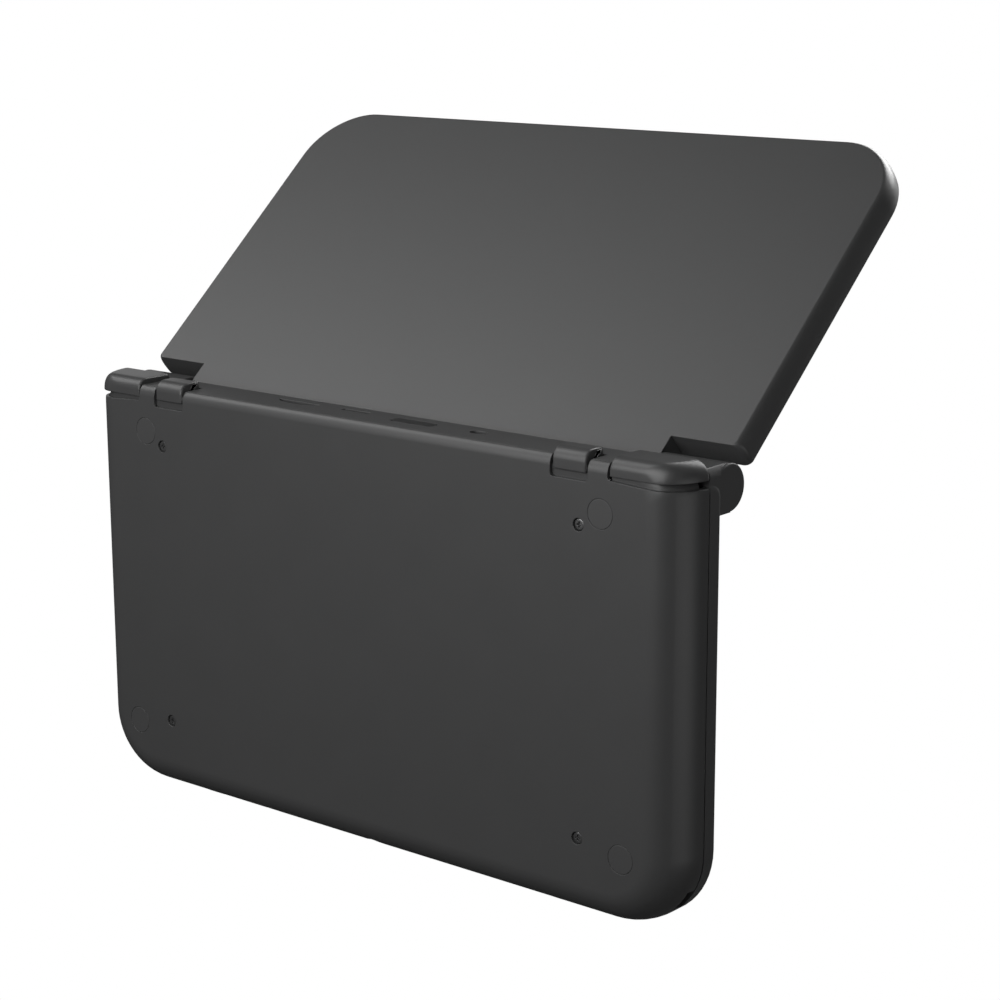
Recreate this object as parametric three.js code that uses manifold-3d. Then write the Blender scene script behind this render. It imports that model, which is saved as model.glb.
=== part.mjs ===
// Clamshell handheld game console with its lid open, in millimetres, +Z up.
// The base stands on z = 0, the player sits towards -Y and the hinge is at the back, towards +Y.
import * as THREE from "three";
import { mergeVertices } from "three/addons/utils/BufferGeometryUtils.js";
import Module from "manifold-3d";

const wasm = await Module();
wasm.setup();

// Overall size
const width = 160;
const depth = 93.5;
const baseHeight = 13.55;
const openDegrees = 131.2;

// Fits between pieces, and the overrun of every cut
const seatGap = 0.2;
const runGap = 0.3;
const overrun = 1;
const weld = 0.0001;

// Outer form of the base
const frontCorner = 16.4;
const backCorner = 5;
const edgeIn = 7.6;
const edgeUp = 9.6;
const backFillet = 2.75;
const noseRadius = 3;
const backIn = 0.95;
const backCrease = 0.5;
const deckEdge = 0.6;

// Walls and seams of the base
const wall = 1.4;
const deckThickness = 1.2;
const seamHeight = 9.8;
const backSeamHeight = 1.2;
const backWallStart = 42.6;

// Hinge
const hingeY = 40;
const hingeZ = 16.8;
const knuckleRadius = 4.7;
const knuckleStartIn = 15.7;
const knuckleEndIn = 0.13;
const barrelRadius = 3.65;
const troughRoom = 0.5;
const pinRadius = 2;
const pinStartIn = 27.5;
const pinEndIn = 1.6;

// Lid
const lidNotch = 7.06;
const lidReach = 86.75;
const lidFarCorner = 15.4;
const lidNearCorner = 2;
const lidRim = 2.4;
const lidEdgeIn = 1.6;
const lidEdgeDown = 4;
const lidRimRound = 0.9;
const lidWall = 1.6;
const lidSkin = 1.5;
const lidLedge = 1;
const tabDrop = 1.6;

// Upper screen and its bezel
const bezelDrop = 1.4;
const bezelThickness = 1.2;
const upperWindowSide = 24;
const upperWindowFar = 6.85;
const upperWindowNear = 12.9;
const upperPanelMargin = 2;
const upperPanelRise = 1;
const upperPanelThickness = 1.8;

// Camera, speakers, sliders and bumpers of the lid
const cameraRadius = 1.35;
const cameraIn = 4.35;
const cameraSink = 0.15;
const speakerIn = 12;
const speakerReach = 50;
const speakerWidth = 13;
const speakerLength = 20;
const speakerHoleRadius = 0.5;
const speakerHolePitch = 2.4;
const sliderIn = 6;
const sliderReach = 30;
const sliderWidth = 1.6;
const sliderLength = 5;
const sliderTravel = 3;
const sliderProud = 0.5;
const sliderLip = 0.9;
const bumperSideIn = 20;
const bumperFarIn = 4.75;
const bumperRadius = 2;
const bumperDrop = 2.9;
const bumperSink = 0.4;

// Touch screen
const touchSide = 36.3;
const touchFront = 15.65;
const touchBack = 11.65;
const touchGlass = 1;
const touchPanelMargin = 1.8;
const touchPanelThickness = 2;

// Main board, its posts, and the battery
const boardTop = 9.85;
const boardThickness = 1;
const boardSideIn = 12;
const boardFront = -40;
const boardBack = 33.9;
const boardCorner = 6;
const postRadius = 1.5;
const batteryLeftShare = -0.325;
const batteryRightShare = -0.075;
const batteryFront = -5;
const batteryBack = 30;
const batteryHeight = 6.4;
const ribWidth = 0.8;
const ribHeight = 3;

// Card slot
const cardShare = -0.2;
const cardWidth = 33;
const cardHeight = 4.3;
const cardFloor = 4.05;
const cardFront = -43.2;
const cardDepth = 31.2;
const cageWall = 0.3;

// Headphone jack
const jackX = 0;
const jackZ = 5.6;
const jackHalfWidth = 3.2;
const jackHalfHeight = 2.8;
const jackFront = -42.2;
const jackLength = 10.2;
const jackTubeRadius = 2.3;
const jackTubeLength = 2.4;
const jackBore = 1.75;

// Stylus
const stylusShare = 0.1875;
const stylusZ = 5.8;
const stylusRadius = 2.2;
const stylusLength = 76;
const stylusTip = 3;
const guideLength = 3;

// Power button and the two lights beside it
const powerShare = 0.3125;
const frontRowZ = 7.2;
const powerWidth = 6;
const powerHeight = 2.2;
const powerProud = 0.3;
const powerDepth = 3.6;
const lightRadius = 0.7;
const powerLightShare = 0.371875;
const chargeLightShare = 0.390625;

// Openings of the back wall
const crescentShare = 0.143125;
const crescentWidth = 11.6;
const crescentBottom = 5.9;
const crescentTop = 8.2;
const slotShare = 0.043125;
const slotWidth = 7.8;
const slotHeight = 1.4;
const slotZ = 8;
const windowShare = -0.063125;
const windowWidth = 11.6;
const windowHeight = 3.4;
const windowZ = 6.7;
const mouthShare = -0.166875;
const mouthWidth = 3.9;
const mouthHeight = 2.4;
const mouthZ = 7;
const portDepth = 5.8;
const portWall = 0.7;
const portMargin = 1.2;

// Cover screws and feet
const screwShare = 0.35625;
const screwFrontY = -29.7;
const screwBackY = 32.6;
const screwHeadRadius = 1.2;
const screwHeadFace = 0.3;
const screwHeadHeight = 1.3;
const screwRadius = 0.8;
const screwEnd = 10.9;
const screwCross = 0.36;
const screwCrossShare = 0.62;
const coverBossRadius = 2.8;
const coverBossTop = 5;
const shellBossRadius = 2.5;
const footRadius = 2.9;
const footThickness = 0.75;
const footGap = 0.08;
const backFootShare = 0.388125;
const backFootY = 35.4;
const frontFootShare = 0.421875;
const frontFootY = -31.55;

// Strap slot in one front corner
const strapDegrees = 37;
const strapWidth = 5;
const strapDepth = 3;
const strapBottom = 7.6;
const strapPinRadius = 0.6;
const strapWall = 1.5;

// Inner triggers
const innerCutStartIn = 29.85;
const innerCutEndIn = 20.86;
const innerCutTop = 6.2;
const innerGap = 0.5;
const innerFront = 42.6;
const innerBack = 46.9;
const innerBottom = 0.1;
const innerTop = 5.7;
const innerLowRound = 2.4;
const innerHighRound = 0.6;
const innerTravel = 1.2;
const flangeSpread = 0.3;
const flangeFront = 40.8;
const flangeStart = 42.6;
const flangeThickness = 0.9;
const flangeTop = 7;
const ledgeHeight = 0.75;
const stemWidth = 2.4;
const stemHeight = 1.6;
const stemBottom = 4.6;
const stemFront = 39.6;
const switchWidth = 3.2;
const switchBottom = 4.4;
const switchStart = 33;

// Shoulder triggers
const shoulderCutIn = 16.27;
const shoulderCutFront = 42;
const shoulderCutFall = 1;
const shoulderGap = 0.4;
const shoulderProud = 0.3;
const shoulderBack = 46.5;
const shoulderCorner = 3.3;
const shoulderLowRound = 2.4;
const shoulderHighRound = 0.8;
const shoulderLip = 0.3;
const shoulderFront = 42.8;
const shoulderBottom = 0.3;
const shoulderTop = 9.6;
const pivotIn = 18.4;
const pivotY = 40.9;
const earRadius = 1.9;
const earBottom = 3.5;
const earTop = 7.5;
const armReachIn = 13.5;
const armFront = 41.2;
const armBack = 43.4;
const skirtFront = 40.9;
const skirtIn = 2;
const skirtTop = 5;
const triggerPinRadius = 0.8;
const triggerPinBottom = 1.8;
const triggerPinTop = 11;

// Slide pad
const padIn = 18.5;
const padY = 14;
const padRadius = 8;
const padBottom = 12.9;
const padTop = 15;
const padDish = 0.5;
const padTravel = 2.4;
const padStem = 3.2;
const padStemBottom = 10.8;
const wellRadius = 11.5;
const wellFloor = 12.5;
const cupWall = 1.2;
const cupBottom = 11.6;
const wellOpening = 7;
const carrierWidth = 20;
const carrierLength = 12;
const carrierThickness = 1.2;
const carrierWeb = 0.35;

// Cross pad
const crossIn = 18.5;
const crossY = -14;
const crossSpan = 20;
const crossArm = 6.6;
const crossBottom = 12;
const crossTop = 14.55;
const crossRoom = 0.4;
const crossFlangeRadius = 5.8;
const crossFlangeBottom = 11.2;
const coreRadius = 3;
const coreHeight = 0.8;

// Buttons of the deck
const clusterIn = 18.5;
const clusterY = 8;
const clusterSpread = 7.2;
const faceRadius = 3.8;
const buttonTop = 14.75;
const buttonFoot = 11;
const buttonLip = 0.8;
const buttonChamfer = 0.5;
const smallIn = 20;
const startY = -13;
const selectY = -20.5;
const smallRadius = 2.3;
const smallTop = 14.2;
const homeY = -39;
const homeWidth = 14;
const homeHeight = 4.4;
const nubIn = 27.5;
const nubY = 25.5;
const nubRadius = 2.6;
const nubTop = 14.1;
const nubRound = 1;
const microphoneShare = 0.125;
const microphoneRadius = 0.5;

// Counts of the facets
const cornerSteps = 8;
const arcSteps = 6;
const finestLevel = 0.5;
const roundSides = 28;
const smallSides = 16;

// Values worked out from those above
const halfWidth = width / 2;
const halfDepth = depth / 2;
const quarterTurn = Math.PI / 2;
const knuckleStart = halfWidth - knuckleStartIn;
const knuckleEnd = halfWidth - knuckleEndIn;
const pinStart = halfWidth - pinStartIn;
const pinEnd = halfWidth - pinEndIn;
const upperWindowWidth = width - 2 * upperWindowSide;
const upperPanelWidth = upperWindowWidth + 2 * upperPanelMargin;
const upperWindowHeight = lidReach - upperWindowFar - upperWindowNear;
const upperPanelHeight = upperWindowHeight + 2 * upperPanelRise;
const upperWindowCentre = upperWindowNear + upperWindowHeight / 2;
const cameraReach = lidReach - cameraIn;
const speakerX = halfWidth - speakerIn;
const sliderX = halfWidth - sliderIn;
const bumperX = halfWidth - bumperSideIn;
const bumperReach = lidReach - bumperFarIn;
const touchWidth = width - 2 * touchSide;
const touchHeight = depth - touchFront - touchBack;
const touchY = (touchFront - touchBack) / 2;
const boardHalfWidth = halfWidth - boardSideIn;
const batteryLeft = batteryLeftShare * width;
const batteryRight = batteryRightShare * width;
const cardX = cardShare * width;
const stylusX = stylusShare * width;
const powerX = powerShare * width;
const powerLightX = powerLightShare * width;
const chargeLightX = chargeLightShare * width;
const crescentX = crescentShare * width;
const slotX = slotShare * width;
const windowX = windowShare * width;
const mouthX = mouthShare * width;
const screwX = screwShare * width;
const backFootX = backFootShare * width;
const frontFootX = frontFootShare * width;
const innerCutStart = halfWidth - innerCutStartIn;
const innerCutEnd = halfWidth - innerCutEndIn;
const innerCutFront = innerFront - innerTravel - runGap;
const shoulderCutStart = halfWidth - shoulderCutIn;
const shoulderStart = shoulderCutStart + shoulderGap;
const pivotX = halfWidth - pivotIn;
const armReach = halfWidth - armReachIn;
const padX = padIn - halfWidth;
const crossX = crossIn - halfWidth;
const clusterX = halfWidth - clusterIn;
const smallX = halfWidth - smallIn;
const nubX = halfWidth - nubIn;
const microphoneX = microphoneShare * width;
const noseZ = baseHeight - noseRadius;
const deckBottom = baseHeight - deckThickness;
const troughRadius = barrelRadius + troughRoom;
const boardBottom = boardTop - boardThickness;
const barrelEnd = knuckleStart - runGap;
const lidTop = barrelRadius;
const cavityTop = lidTop - lidSkin;
const bezelBack = bezelThickness - bezelDrop;
const sides = [-1, 1];

// Solids from geometries

function solidFrom(geometry) {
  const bare = new THREE.BufferGeometry();
  bare.setAttribute("position", geometry.getAttribute("position"));
  bare.setIndex(geometry.index);
  const merged = mergeVertices(bare, weld);
  const vertProperties = merged.getAttribute("position").array;
  const triVerts = new Uint32Array(merged.index.array);
  return new wasm.Manifold(new wasm.Mesh({ numProp: 3, vertProperties, triVerts }));
}

function geometryFrom(solid) {
  const mesh = solid.getMesh();
  const geometry = new THREE.BufferGeometry();
  geometry.setAttribute("position", new THREE.BufferAttribute(new Float32Array(mesh.vertProperties), 3));
  geometry.setIndex(new THREE.BufferAttribute(new Uint32Array(mesh.triVerts), 1));
  return geometry;
}

function join(first, ...others) {
  return others.reduce((whole, other) => whole.add(other), first);
}

function cut(first, ...tools) {
  return tools.reduce((whole, tool) => whole.subtract(tool), first);
}

function block(x0, x1, y0, y1, z0, z1) {
  const geometry = new THREE.BoxGeometry(x1 - x0, y1 - y0, z1 - z0);
  return solidFrom(geometry.translate((x0 + x1) / 2, (y0 + y1) / 2, (z0 + z1) / 2));
}

// The same block on the side of the object that the sign tells, with x measured outwards.
function sideBlock(side, x0, x1, y0, y1, z0, z1) {
  const low = Math.min(side * x0, side * x1);
  const high = Math.max(side * x0, side * x1);
  return block(low, high, y0, y1, z0, z1);
}

function upright(radius, z0, z1, x = 0, y = 0, topRadius = radius) {
  const count = radius > footRadius ? roundSides : smallSides;
  const geometry = new THREE.CylinderGeometry(topRadius, radius, z1 - z0, count).rotateX(quarterTurn);
  return solidFrom(geometry.translate(x, y, (z0 + z1) / 2));
}

function crosswise(radius, x0, x1, y = 0, z = 0) {
  const geometry = new THREE.CylinderGeometry(radius, radius, Math.abs(x1 - x0), roundSides);
  return solidFrom(geometry.rotateZ(quarterTurn).translate((x0 + x1) / 2, y, z));
}

function lengthwise(radius, y0, y1, x = 0, z = 0, frontRadius = radius) {
  const geometry = new THREE.CylinderGeometry(radius, frontRadius, y1 - y0, smallSides);
  return solidFrom(geometry.translate(x, (y0 + y1) / 2, z));
}

function extruded(shape, length) {
  return new THREE.ExtrudeGeometry(shape, { depth: length, bevelEnabled: false, curveSegments: cornerSteps });
}

// A shape in x and z, standing up, that runs from y0 to y1.
function prismY(shape, y0, y1, x, z) {
  return solidFrom(extruded(shape, y1 - y0).rotateX(quarterTurn).translate(x, y1, z));
}

// A shape in y and z that runs from x0 to x1.
function prismX(shape, x0, x1) {
  const low = Math.min(x0, x1);
  const geometry = extruded(shape, Math.abs(x1 - x0)).rotateX(quarterTurn).rotateZ(quarterTurn);
  return solidFrom(geometry.translate(low, 0, 0));
}

function prismZ(shape, z0, z1, x = 0, y = 0) {
  return solidFrom(extruded(shape, z1 - z0).translate(x, y, z0));
}

function oval(fullWidth, height) {
  const radius = height / 2;
  const reach = (fullWidth - height) / 2;
  const shape = new THREE.Shape();
  shape.absarc(reach, 0, radius, -quarterTurn, quarterTurn);
  shape.absarc(-reach, 0, radius, quarterTurn, 3 * quarterTurn);
  return shape;
}

function crossShape(span, arm) {
  const a = arm / 2;
  const s = span / 2;
  const half = [[s, -a], [s, a], [a, a], [a, s], [-a, s], [-a, a]];
  const points = [...half, ...half.map(([x, y]) => [-x, -y])];
  return new THREE.Shape(points.map(([x, y]) => new THREE.Vector2(x, y)));
}

// A rounded rectangle as points, from its four edges and its two corner radii.
function outline(left, right, front, back, frontRadius, backRadius) {
  const corners = [
    [right - frontRadius, front + frontRadius, frontRadius, -1],
    [right - backRadius, back - backRadius, backRadius, 0],
    [left + backRadius, back - backRadius, backRadius, 1],
    [left + frontRadius, front + frontRadius, frontRadius, 2],
  ];
  const points = [];
  for (const [x, y, radius, turns] of corners) {
    for (let step = 0; step <= cornerSteps; step += 1) {
      const angle = (turns + step / cornerSteps) * quarterTurn;
      points.push([x + radius * Math.cos(angle), y + radius * Math.sin(angle)]);
    }
  }
  return points;
}

// A solid skinned over outlines that lie one above the other, all with the same number of points.
// A point's own height, where it has one, stands for that of its level.
function stack(levels) {
  const count = levels[0].points.length;
  const positions = levels.flatMap(({ points, z }) => points.flatMap(([x, y]) => [x, y, z]));
  const index = [];
  for (let level = 0; level + 1 < levels.length; level += 1) {
    for (let point = 0; point < count; point += 1) {
      const a = level * count + point;
      const b = level * count + ((point + 1) % count);
      index.push(a, b, b + count, a, b + count, a + count);
    }
  }
  const last = (levels.length - 1) * count;
  for (let a = 0, b = count - 1; a + 1 < b; a += 1, b -= 1) {
    index.push(a, b, a + 1, last + a, last + a + 1, last + b);
    if (a + 2 < b) index.push(a + 1, b, b - 1, last + a + 1, last + b - 1, last + b);
  }
  const geometry = new THREE.BufferGeometry();
  geometry.setAttribute("position", new THREE.Float32BufferAttribute(positions, 3));
  geometry.setIndex(index);
  return solidFrom(geometry);
}

// How far a quarter circle of radius one has curved in, after a rise between zero and one.
function quarterDrop(rise) {
  const held = Math.min(Math.max(rise, 0), 1);
  return 1 - Math.sqrt(1 - held * held);
}

// Outer form of the base, grown outwards by an amount that is negative for the hollow inside

function sideInset(z, grow) {
  const low = quarterDrop((edgeUp - z) / (edgeUp + grow)) * (edgeIn + grow);
  const high = quarterDrop((z - baseHeight + deckEdge) / deckEdge) * deckEdge;
  return low + high - grow;
}

function backInset(z, grow) {
  const low = quarterDrop((backFillet - z) / (backFillet + grow)) * (backFillet + grow);
  const high = quarterDrop((z - noseZ) / (noseRadius + grow)) * (noseRadius + grow);
  return backIn + Math.max(low, backCrease) + high - grow;
}

function baseOutline(z, grow) {
  const side = sideInset(z, grow);
  const back = halfDepth - backInset(z, grow);
  const right = halfWidth - side;
  return outline(-right, right, side - halfDepth, back, frontCorner - side, backCorner + grow);
}

function levelHeights(z0, z1, grow) {
  const heights = [];
  for (let step = 0; step <= arcSteps; step += 1) {
    const rise = Math.sin((step / arcSteps) * quarterTurn);
    heights.push(edgeUp - (edgeUp + grow) * rise);
    heights.push(backFillet - (backFillet + grow) * rise);
    heights.push(noseZ + (noseRadius + grow) * rise);
    heights.push(baseHeight - deckEdge + deckEdge * rise);
  }
  const kept = [z0];
  for (const z of heights.sort((a, b) => a - b)) {
    if (z > kept[kept.length - 1] + finestLevel && z < z1 - finestLevel) kept.push(z);
  }
  return [...kept, z1];
}

function envelope(grow, z0, z1) {
  const levels = levelHeights(z0, z1, grow).map((z) => ({ points: baseOutline(z, grow), z }));
  return stack(levels);
}

function hingeBar(radius, x0, x1) {
  return crosswise(radius, x0, x1, hingeY, hingeZ);
}

function baseHollow() {
  const room = envelope(-wall, wall, deckBottom);
  return cut(room, hingeBar(troughRadius + deckThickness, -halfWidth, halfWidth));
}

// Places that several pieces share

const screwPlaces = [
  [-screwX, screwFrontY],
  [screwX, screwFrontY],
  [-screwX, screwBackY],
  [screwX, screwBackY],
];

const feetPlaces = [
  [-frontFootX, frontFootY],
  [frontFootX, frontFootY],
  [-backFootX, backFootY],
  [backFootX, backFootY],
];

const postPlaces = [
  [-boardHalfWidth + boardCorner, 0],
  [boardHalfWidth - boardCorner, 0],
  [jackX + jackLength, -touchY],
  [jackX + jackLength, screwBackY / 2],
  [powerX - 2 * postRadius, screwFrontY],
];

// A block turned about the axis of the strap corner: x0 and x1 are distances from that axis.
function strapBlock(x0, x1, halfSpan, z0, z1) {
  const geometry = new THREE.BoxGeometry(x1 - x0, 2 * halfSpan, z1 - z0);
  geometry.translate((x0 + x1) / 2, 0, (z0 + z1) / 2);
  geometry.rotateZ(2 * quarterTurn + THREE.MathUtils.degToRad(strapDegrees));
  return solidFrom(geometry.translate(frontCorner - halfWidth, frontCorner - halfDepth, 0));
}

function strapPinPlace() {
  const angle = THREE.MathUtils.degToRad(strapDegrees);
  const reach = frontCorner - 2 * strapPinRadius;
  const x = frontCorner - halfWidth - reach * Math.cos(angle);
  const y = frontCorner - halfDepth - reach * Math.sin(angle);
  return [x, y];
}

function innerCut(side) {
  const top = innerCutTop;
  return sideBlock(side, innerCutStart, innerCutEnd, innerCutFront, halfDepth + overrun, -overrun, top);
}

function shoulderCut(side) {
  const far = halfWidth + 2 * overrun;
  const points = [
    [shoulderCutStart, shoulderCutFront],
    [far, shoulderCutFront - shoulderCutFall],
    [far, halfDepth + overrun],
    [shoulderCutStart, halfDepth + overrun],
  ];
  const placed = points.map(([x, y]) => new THREE.Vector2(side * x, y));
  return prismZ(new THREE.Shape(placed), -overrun, shoulderTop + shoulderGap);
}

// Rear cover: the pan that forms the underside, the sides and the front

function frontHole(shape, x, z) {
  return prismY(shape, -halfDepth - overrun, cardFront + overrun / 2, x, z);
}

function coverFloorParts() {
  const floor = wall - overrun / 2;
  const ribTop = wall + ribHeight;
  const inner = batteryFront - runGap;
  const ribs = cut(
    block(batteryLeft - runGap - ribWidth, batteryRight + runGap + ribWidth, inner - ribWidth,
      batteryBack + runGap + ribWidth, floor, ribTop),
    block(batteryLeft - runGap, batteryRight + runGap, inner, batteryBack + runGap, floor - overrun,
      ribTop + overrun),
  );
  const bosses = screwPlaces.map(([x, y]) => upright(coverBossRadius, floor, coverBossTop, x, y));
  const posts = postPlaces.map(([x, y]) => upright(postRadius, floor, boardBottom - seatGap, x, y));
  const pivots = sides.map((side) => upright(earRadius, floor, earBottom - runGap, side * pivotX, pivotY));
  return join(ribs, ...bosses, ...posts, ...pivots);
}

function stylusGuides() {
  const half = stylusRadius + ribWidth + runGap;
  const back = stylusLength - halfDepth - guideLength;
  const starts = [cardFront + 2 * guideLength, back - guideLength];
  const guides = starts.map((y) =>
    block(stylusX - half, stylusX + half, y, y + guideLength, wall - overrun / 2, stylusZ));
  return cut(join(...guides), lengthwise(stylusRadius + runGap, -halfDepth, halfDepth, stylusX, stylusZ));
}

function strapHousing() {
  const inside = frontCorner - strapDepth - strapWall;
  const halfSpan = strapWidth / 2 + strapWall;
  const body = strapBlock(inside, frontCorner, halfSpan, strapBottom - strapWall, seamHeight);
  return body.intersect(envelope(0, 0, seamHeight));
}

function rearCover() {
  const [pinX, pinY] = strapPinPlace();
  const pan = cut(
    envelope(0, 0, seamHeight),
    baseHollow(),
    block(-halfWidth, halfWidth, backWallStart, halfDepth + overrun, backSeamHeight, baseHeight),
    ...sides.map(innerCut),
    ...sides.map(shoulderCut),
  );
  const body = join(pan, coverFloorParts(), stylusGuides(), strapHousing());
  return cut(
    body,
    ...screwPlaces.map(([x, y]) => upright(screwRadius + seatGap, -overrun, baseHeight, x, y)),
    ...screwPlaces.map(([x, y]) =>
      upright(screwHeadRadius + seatGap, -overrun, screwHeadFace + screwHeadHeight + seatGap, x, y)),
    ...feetPlaces.map(([x, y]) => upright(footRadius + footGap, -overrun, footThickness + footGap, x, y)),
    ...sides.map((side) =>
      upright(triggerPinRadius + seatGap, triggerPinBottom - seatGap, earBottom, side * pivotX, pivotY)),
    block(cardX - cardWidth / 2, cardX + cardWidth / 2, -halfDepth - overrun, cardFront + overrun / 2,
      cardFloor, cardFloor + cardHeight),
    lengthwise(jackTubeRadius + runGap, -halfDepth - overrun, jackFront, jackX, jackZ),
    lengthwise(stylusRadius + runGap, -halfDepth - overrun, cardFront + overrun, stylusX, stylusZ),
    frontHole(oval(powerWidth + 2 * runGap, powerHeight + 2 * runGap), powerX, frontRowZ),
    lengthwise(lightRadius + seatGap, -halfDepth - overrun, cardFront, powerLightX, frontRowZ),
    lengthwise(lightRadius + seatGap, -halfDepth - overrun, cardFront, chargeLightX, frontRowZ),
    strapBlock(frontCorner - strapDepth, frontCorner + overrun, strapWidth / 2, strapBottom, baseHeight),
    upright(strapPinRadius + seatGap, strapBottom - 2 * strapPinRadius, baseHeight, pinX, pinY),
  );
}

// Base top shell: the deck, the back wall with its openings, and the two hinge knuckles

function backWall() {
  const back = cut(envelope(0, backSeamHeight + seatGap, seamHeight + 2 * seatGap), baseHollow());
  const band = block(-halfWidth, halfWidth, backWallStart + seatGap, halfDepth + overrun, 0, baseHeight);
  return cut(back.intersect(band), ...sides.map(shoulderCut));
}

function crescent() {
  const rise = crescentTop - crescentBottom;
  const reach = crescentWidth / 2;
  const shape = new THREE.Shape();
  shape.moveTo(reach, 0);
  shape.lineTo(-reach, 0);
  shape.absellipse(0, 0, reach, rise, 2 * quarterTurn, 4 * quarterTurn);
  return shape;
}

function backHole(shape, x, z) {
  return prismY(shape, backWallStart, halfDepth + overrun, x, z);
}

function knuckle(side) {
  const bar = hingeBar(knuckleRadius, side * knuckleStart, side * knuckleEnd);
  const front = hingeY - knuckleRadius;
  const back = hingeY + knuckleRadius;
  const start = seamHeight + seatGap;
  const tower = sideBlock(side, knuckleStart, knuckleEnd, front, back, start, hingeZ);
  const plan = stack([
    { points: outline(-halfWidth, halfWidth, -halfDepth, halfDepth, frontCorner, backCorner), z: 0 },
    { points: outline(-halfWidth, halfWidth, -halfDepth, halfDepth, frontCorner, backCorner), z: hingeZ },
  ]);
  return join(bar, tower.intersect(plan));
}

function deckHoles() {
  const top = baseHeight + overrun;
  const low = buttonFoot;
  const round = (x, y, radius) => upright(radius, low, top, x, y);
  const halfTouch = touchWidth / 2;
  return [
    block(-halfTouch, halfTouch, touchY - touchHeight / 2, touchY + touchHeight / 2, low, top),
    upright(wellRadius, wellFloor, top, padX, padY),
    round(padX, padY, wellOpening),
    prismZ(crossShape(crossSpan + 2 * crossRoom, crossArm + 2 * crossRoom), low, top, crossX, crossY),
    ...facePlaces().map(([x, y]) => round(x, y, faceRadius + runGap)),
    round(smallX, startY, smallRadius + runGap),
    round(smallX, selectY, smallRadius + runGap),
    prismZ(oval(homeWidth + 2 * runGap, homeHeight + 2 * runGap), low, top, 0, homeY),
    round(nubX, nubY, nubRadius + seatGap),
    round(microphoneX, homeY, microphoneRadius),
  ];
}

function baseTopShell() {
  const pinRoom = pinRadius + seatGap;
  const deck = cut(
    join(cut(envelope(0, seamHeight + seatGap, baseHeight), baseHollow()), backWall()),
    hingeBar(troughRadius, -knuckleStart, knuckleStart),
  );
  const body = join(
    deck,
    ...sides.map(knuckle),
    upright(wellRadius + cupWall, cupBottom, wellFloor + seatGap, padX, padY),
    ...screwPlaces.map(([x, y]) => upright(shellBossRadius, coverBossTop + seatGap, wellFloor, x, y)),
    ...sides.map((side) => upright(earRadius, earTop + runGap, deckBottom - runGap, side * pivotX, pivotY)),
  );
  return cut(
    body,
    ...sides.map(innerCut),
    ...sides.map((side) => hingeBar(pinRoom, side * (knuckleStart - overrun), side * (pinEnd + seatGap))),
    ...screwPlaces.map(([x, y]) => upright(screwRadius + seatGap, wall, screwEnd + seatGap, x, y)),
    ...sides.map((side) =>
      upright(triggerPinRadius + seatGap, earTop, triggerPinTop + seatGap, side * pivotX, pivotY)),
    ...deckHoles(),
    backHole(crescent(), crescentX, crescentTop),
    backHole(oval(slotWidth, slotHeight), slotX, slotZ),
    backHole(oval(windowWidth, windowHeight), windowX, windowZ),
    backHole(oval(mouthWidth, mouthHeight), mouthX, mouthZ),
  );
}

// Inside the base

function touchScreenGlass() {
  const halfX = touchWidth / 2 - seatGap;
  const halfY = touchHeight / 2 - seatGap;
  return block(-halfX, halfX, touchY - halfY, touchY + halfY, deckBottom, deckBottom + touchGlass);
}

function touchScreenPanel() {
  const halfX = touchWidth / 2 + touchPanelMargin;
  const halfY = touchHeight / 2 + touchPanelMargin;
  const top = deckBottom - seatGap;
  return block(-halfX, halfX, touchY - halfY, touchY + halfY, top - touchPanelThickness, top);
}

function mainBoard() {
  const points = outline(-boardHalfWidth, boardHalfWidth, boardFront, boardBack, boardCorner, boardCorner);
  const plate = stack([{ points, z: boardBottom }, { points, z: boardTop }]);
  const start = innerCutStart + innerGap;
  const end = stemFront - innerTravel - seatGap;
  const near = start + seatGap;
  const switches = sides.map((side) =>
    sideBlock(side, near, near + switchWidth, switchStart, end, switchBottom, boardTop));
  const room = shellBossRadius + seatGap;
  const holes = screwPlaces.map(([x, y]) => upright(room, switchBottom, baseHeight, x, y));
  return cut(join(plate, ...switches), ...holes);
}

function battery() {
  const bottom = wall + seatGap;
  return block(batteryLeft, batteryRight, batteryFront, batteryBack, bottom, bottom + batteryHeight);
}

function cardSlotCage() {
  const half = cardWidth / 2;
  const back = cardFront + cardDepth;
  const top = cardFloor + cardHeight;
  const spread = half + 2 * cageWall;
  const outside = block(cardX - spread, cardX + spread, cardFront, back + 2 * cageWall,
    cardFloor - cageWall, top + cageWall);
  return cut(outside, block(cardX - half, cardX + half, cardFront - overrun, back, cardFloor, top));
}

function headphoneJack() {
  const back = jackFront + jackLength;
  const body = block(jackX - jackHalfWidth, jackX + jackHalfWidth, jackFront, back,
    jackZ - jackHalfHeight, jackZ + jackHalfHeight);
  const tube = lengthwise(jackTubeRadius, jackFront - jackTubeLength, back, jackX, jackZ);
  const bore = lengthwise(jackBore, jackFront - jackTubeLength - overrun, back - overrun, jackX, jackZ);
  return cut(join(body, tube), bore);
}

function chargePort() {
  const half = crescentWidth / 2 - seatGap;
  const back = backWallStart + overrun;
  const front = back - portDepth;
  const bottom = crescentBottom - portMargin;
  const top = crescentTop + portMargin;
  const outside = block(crescentX - half, crescentX + half, front, back, bottom, top);
  const inner = half - portWall;
  const room = block(crescentX - inner, crescentX + inner, front + portWall, back + overrun,
    bottom + portWall, top - portWall);
  return cut(outside, room);
}

function infraredWindow() {
  const shape = oval(windowWidth - 2 * seatGap, windowHeight - 2 * seatGap);
  const bar = prismY(shape, backWallStart + overrun, halfDepth + overrun, windowX, windowZ);
  return bar.intersect(envelope(0, wall, seamHeight));
}

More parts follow.
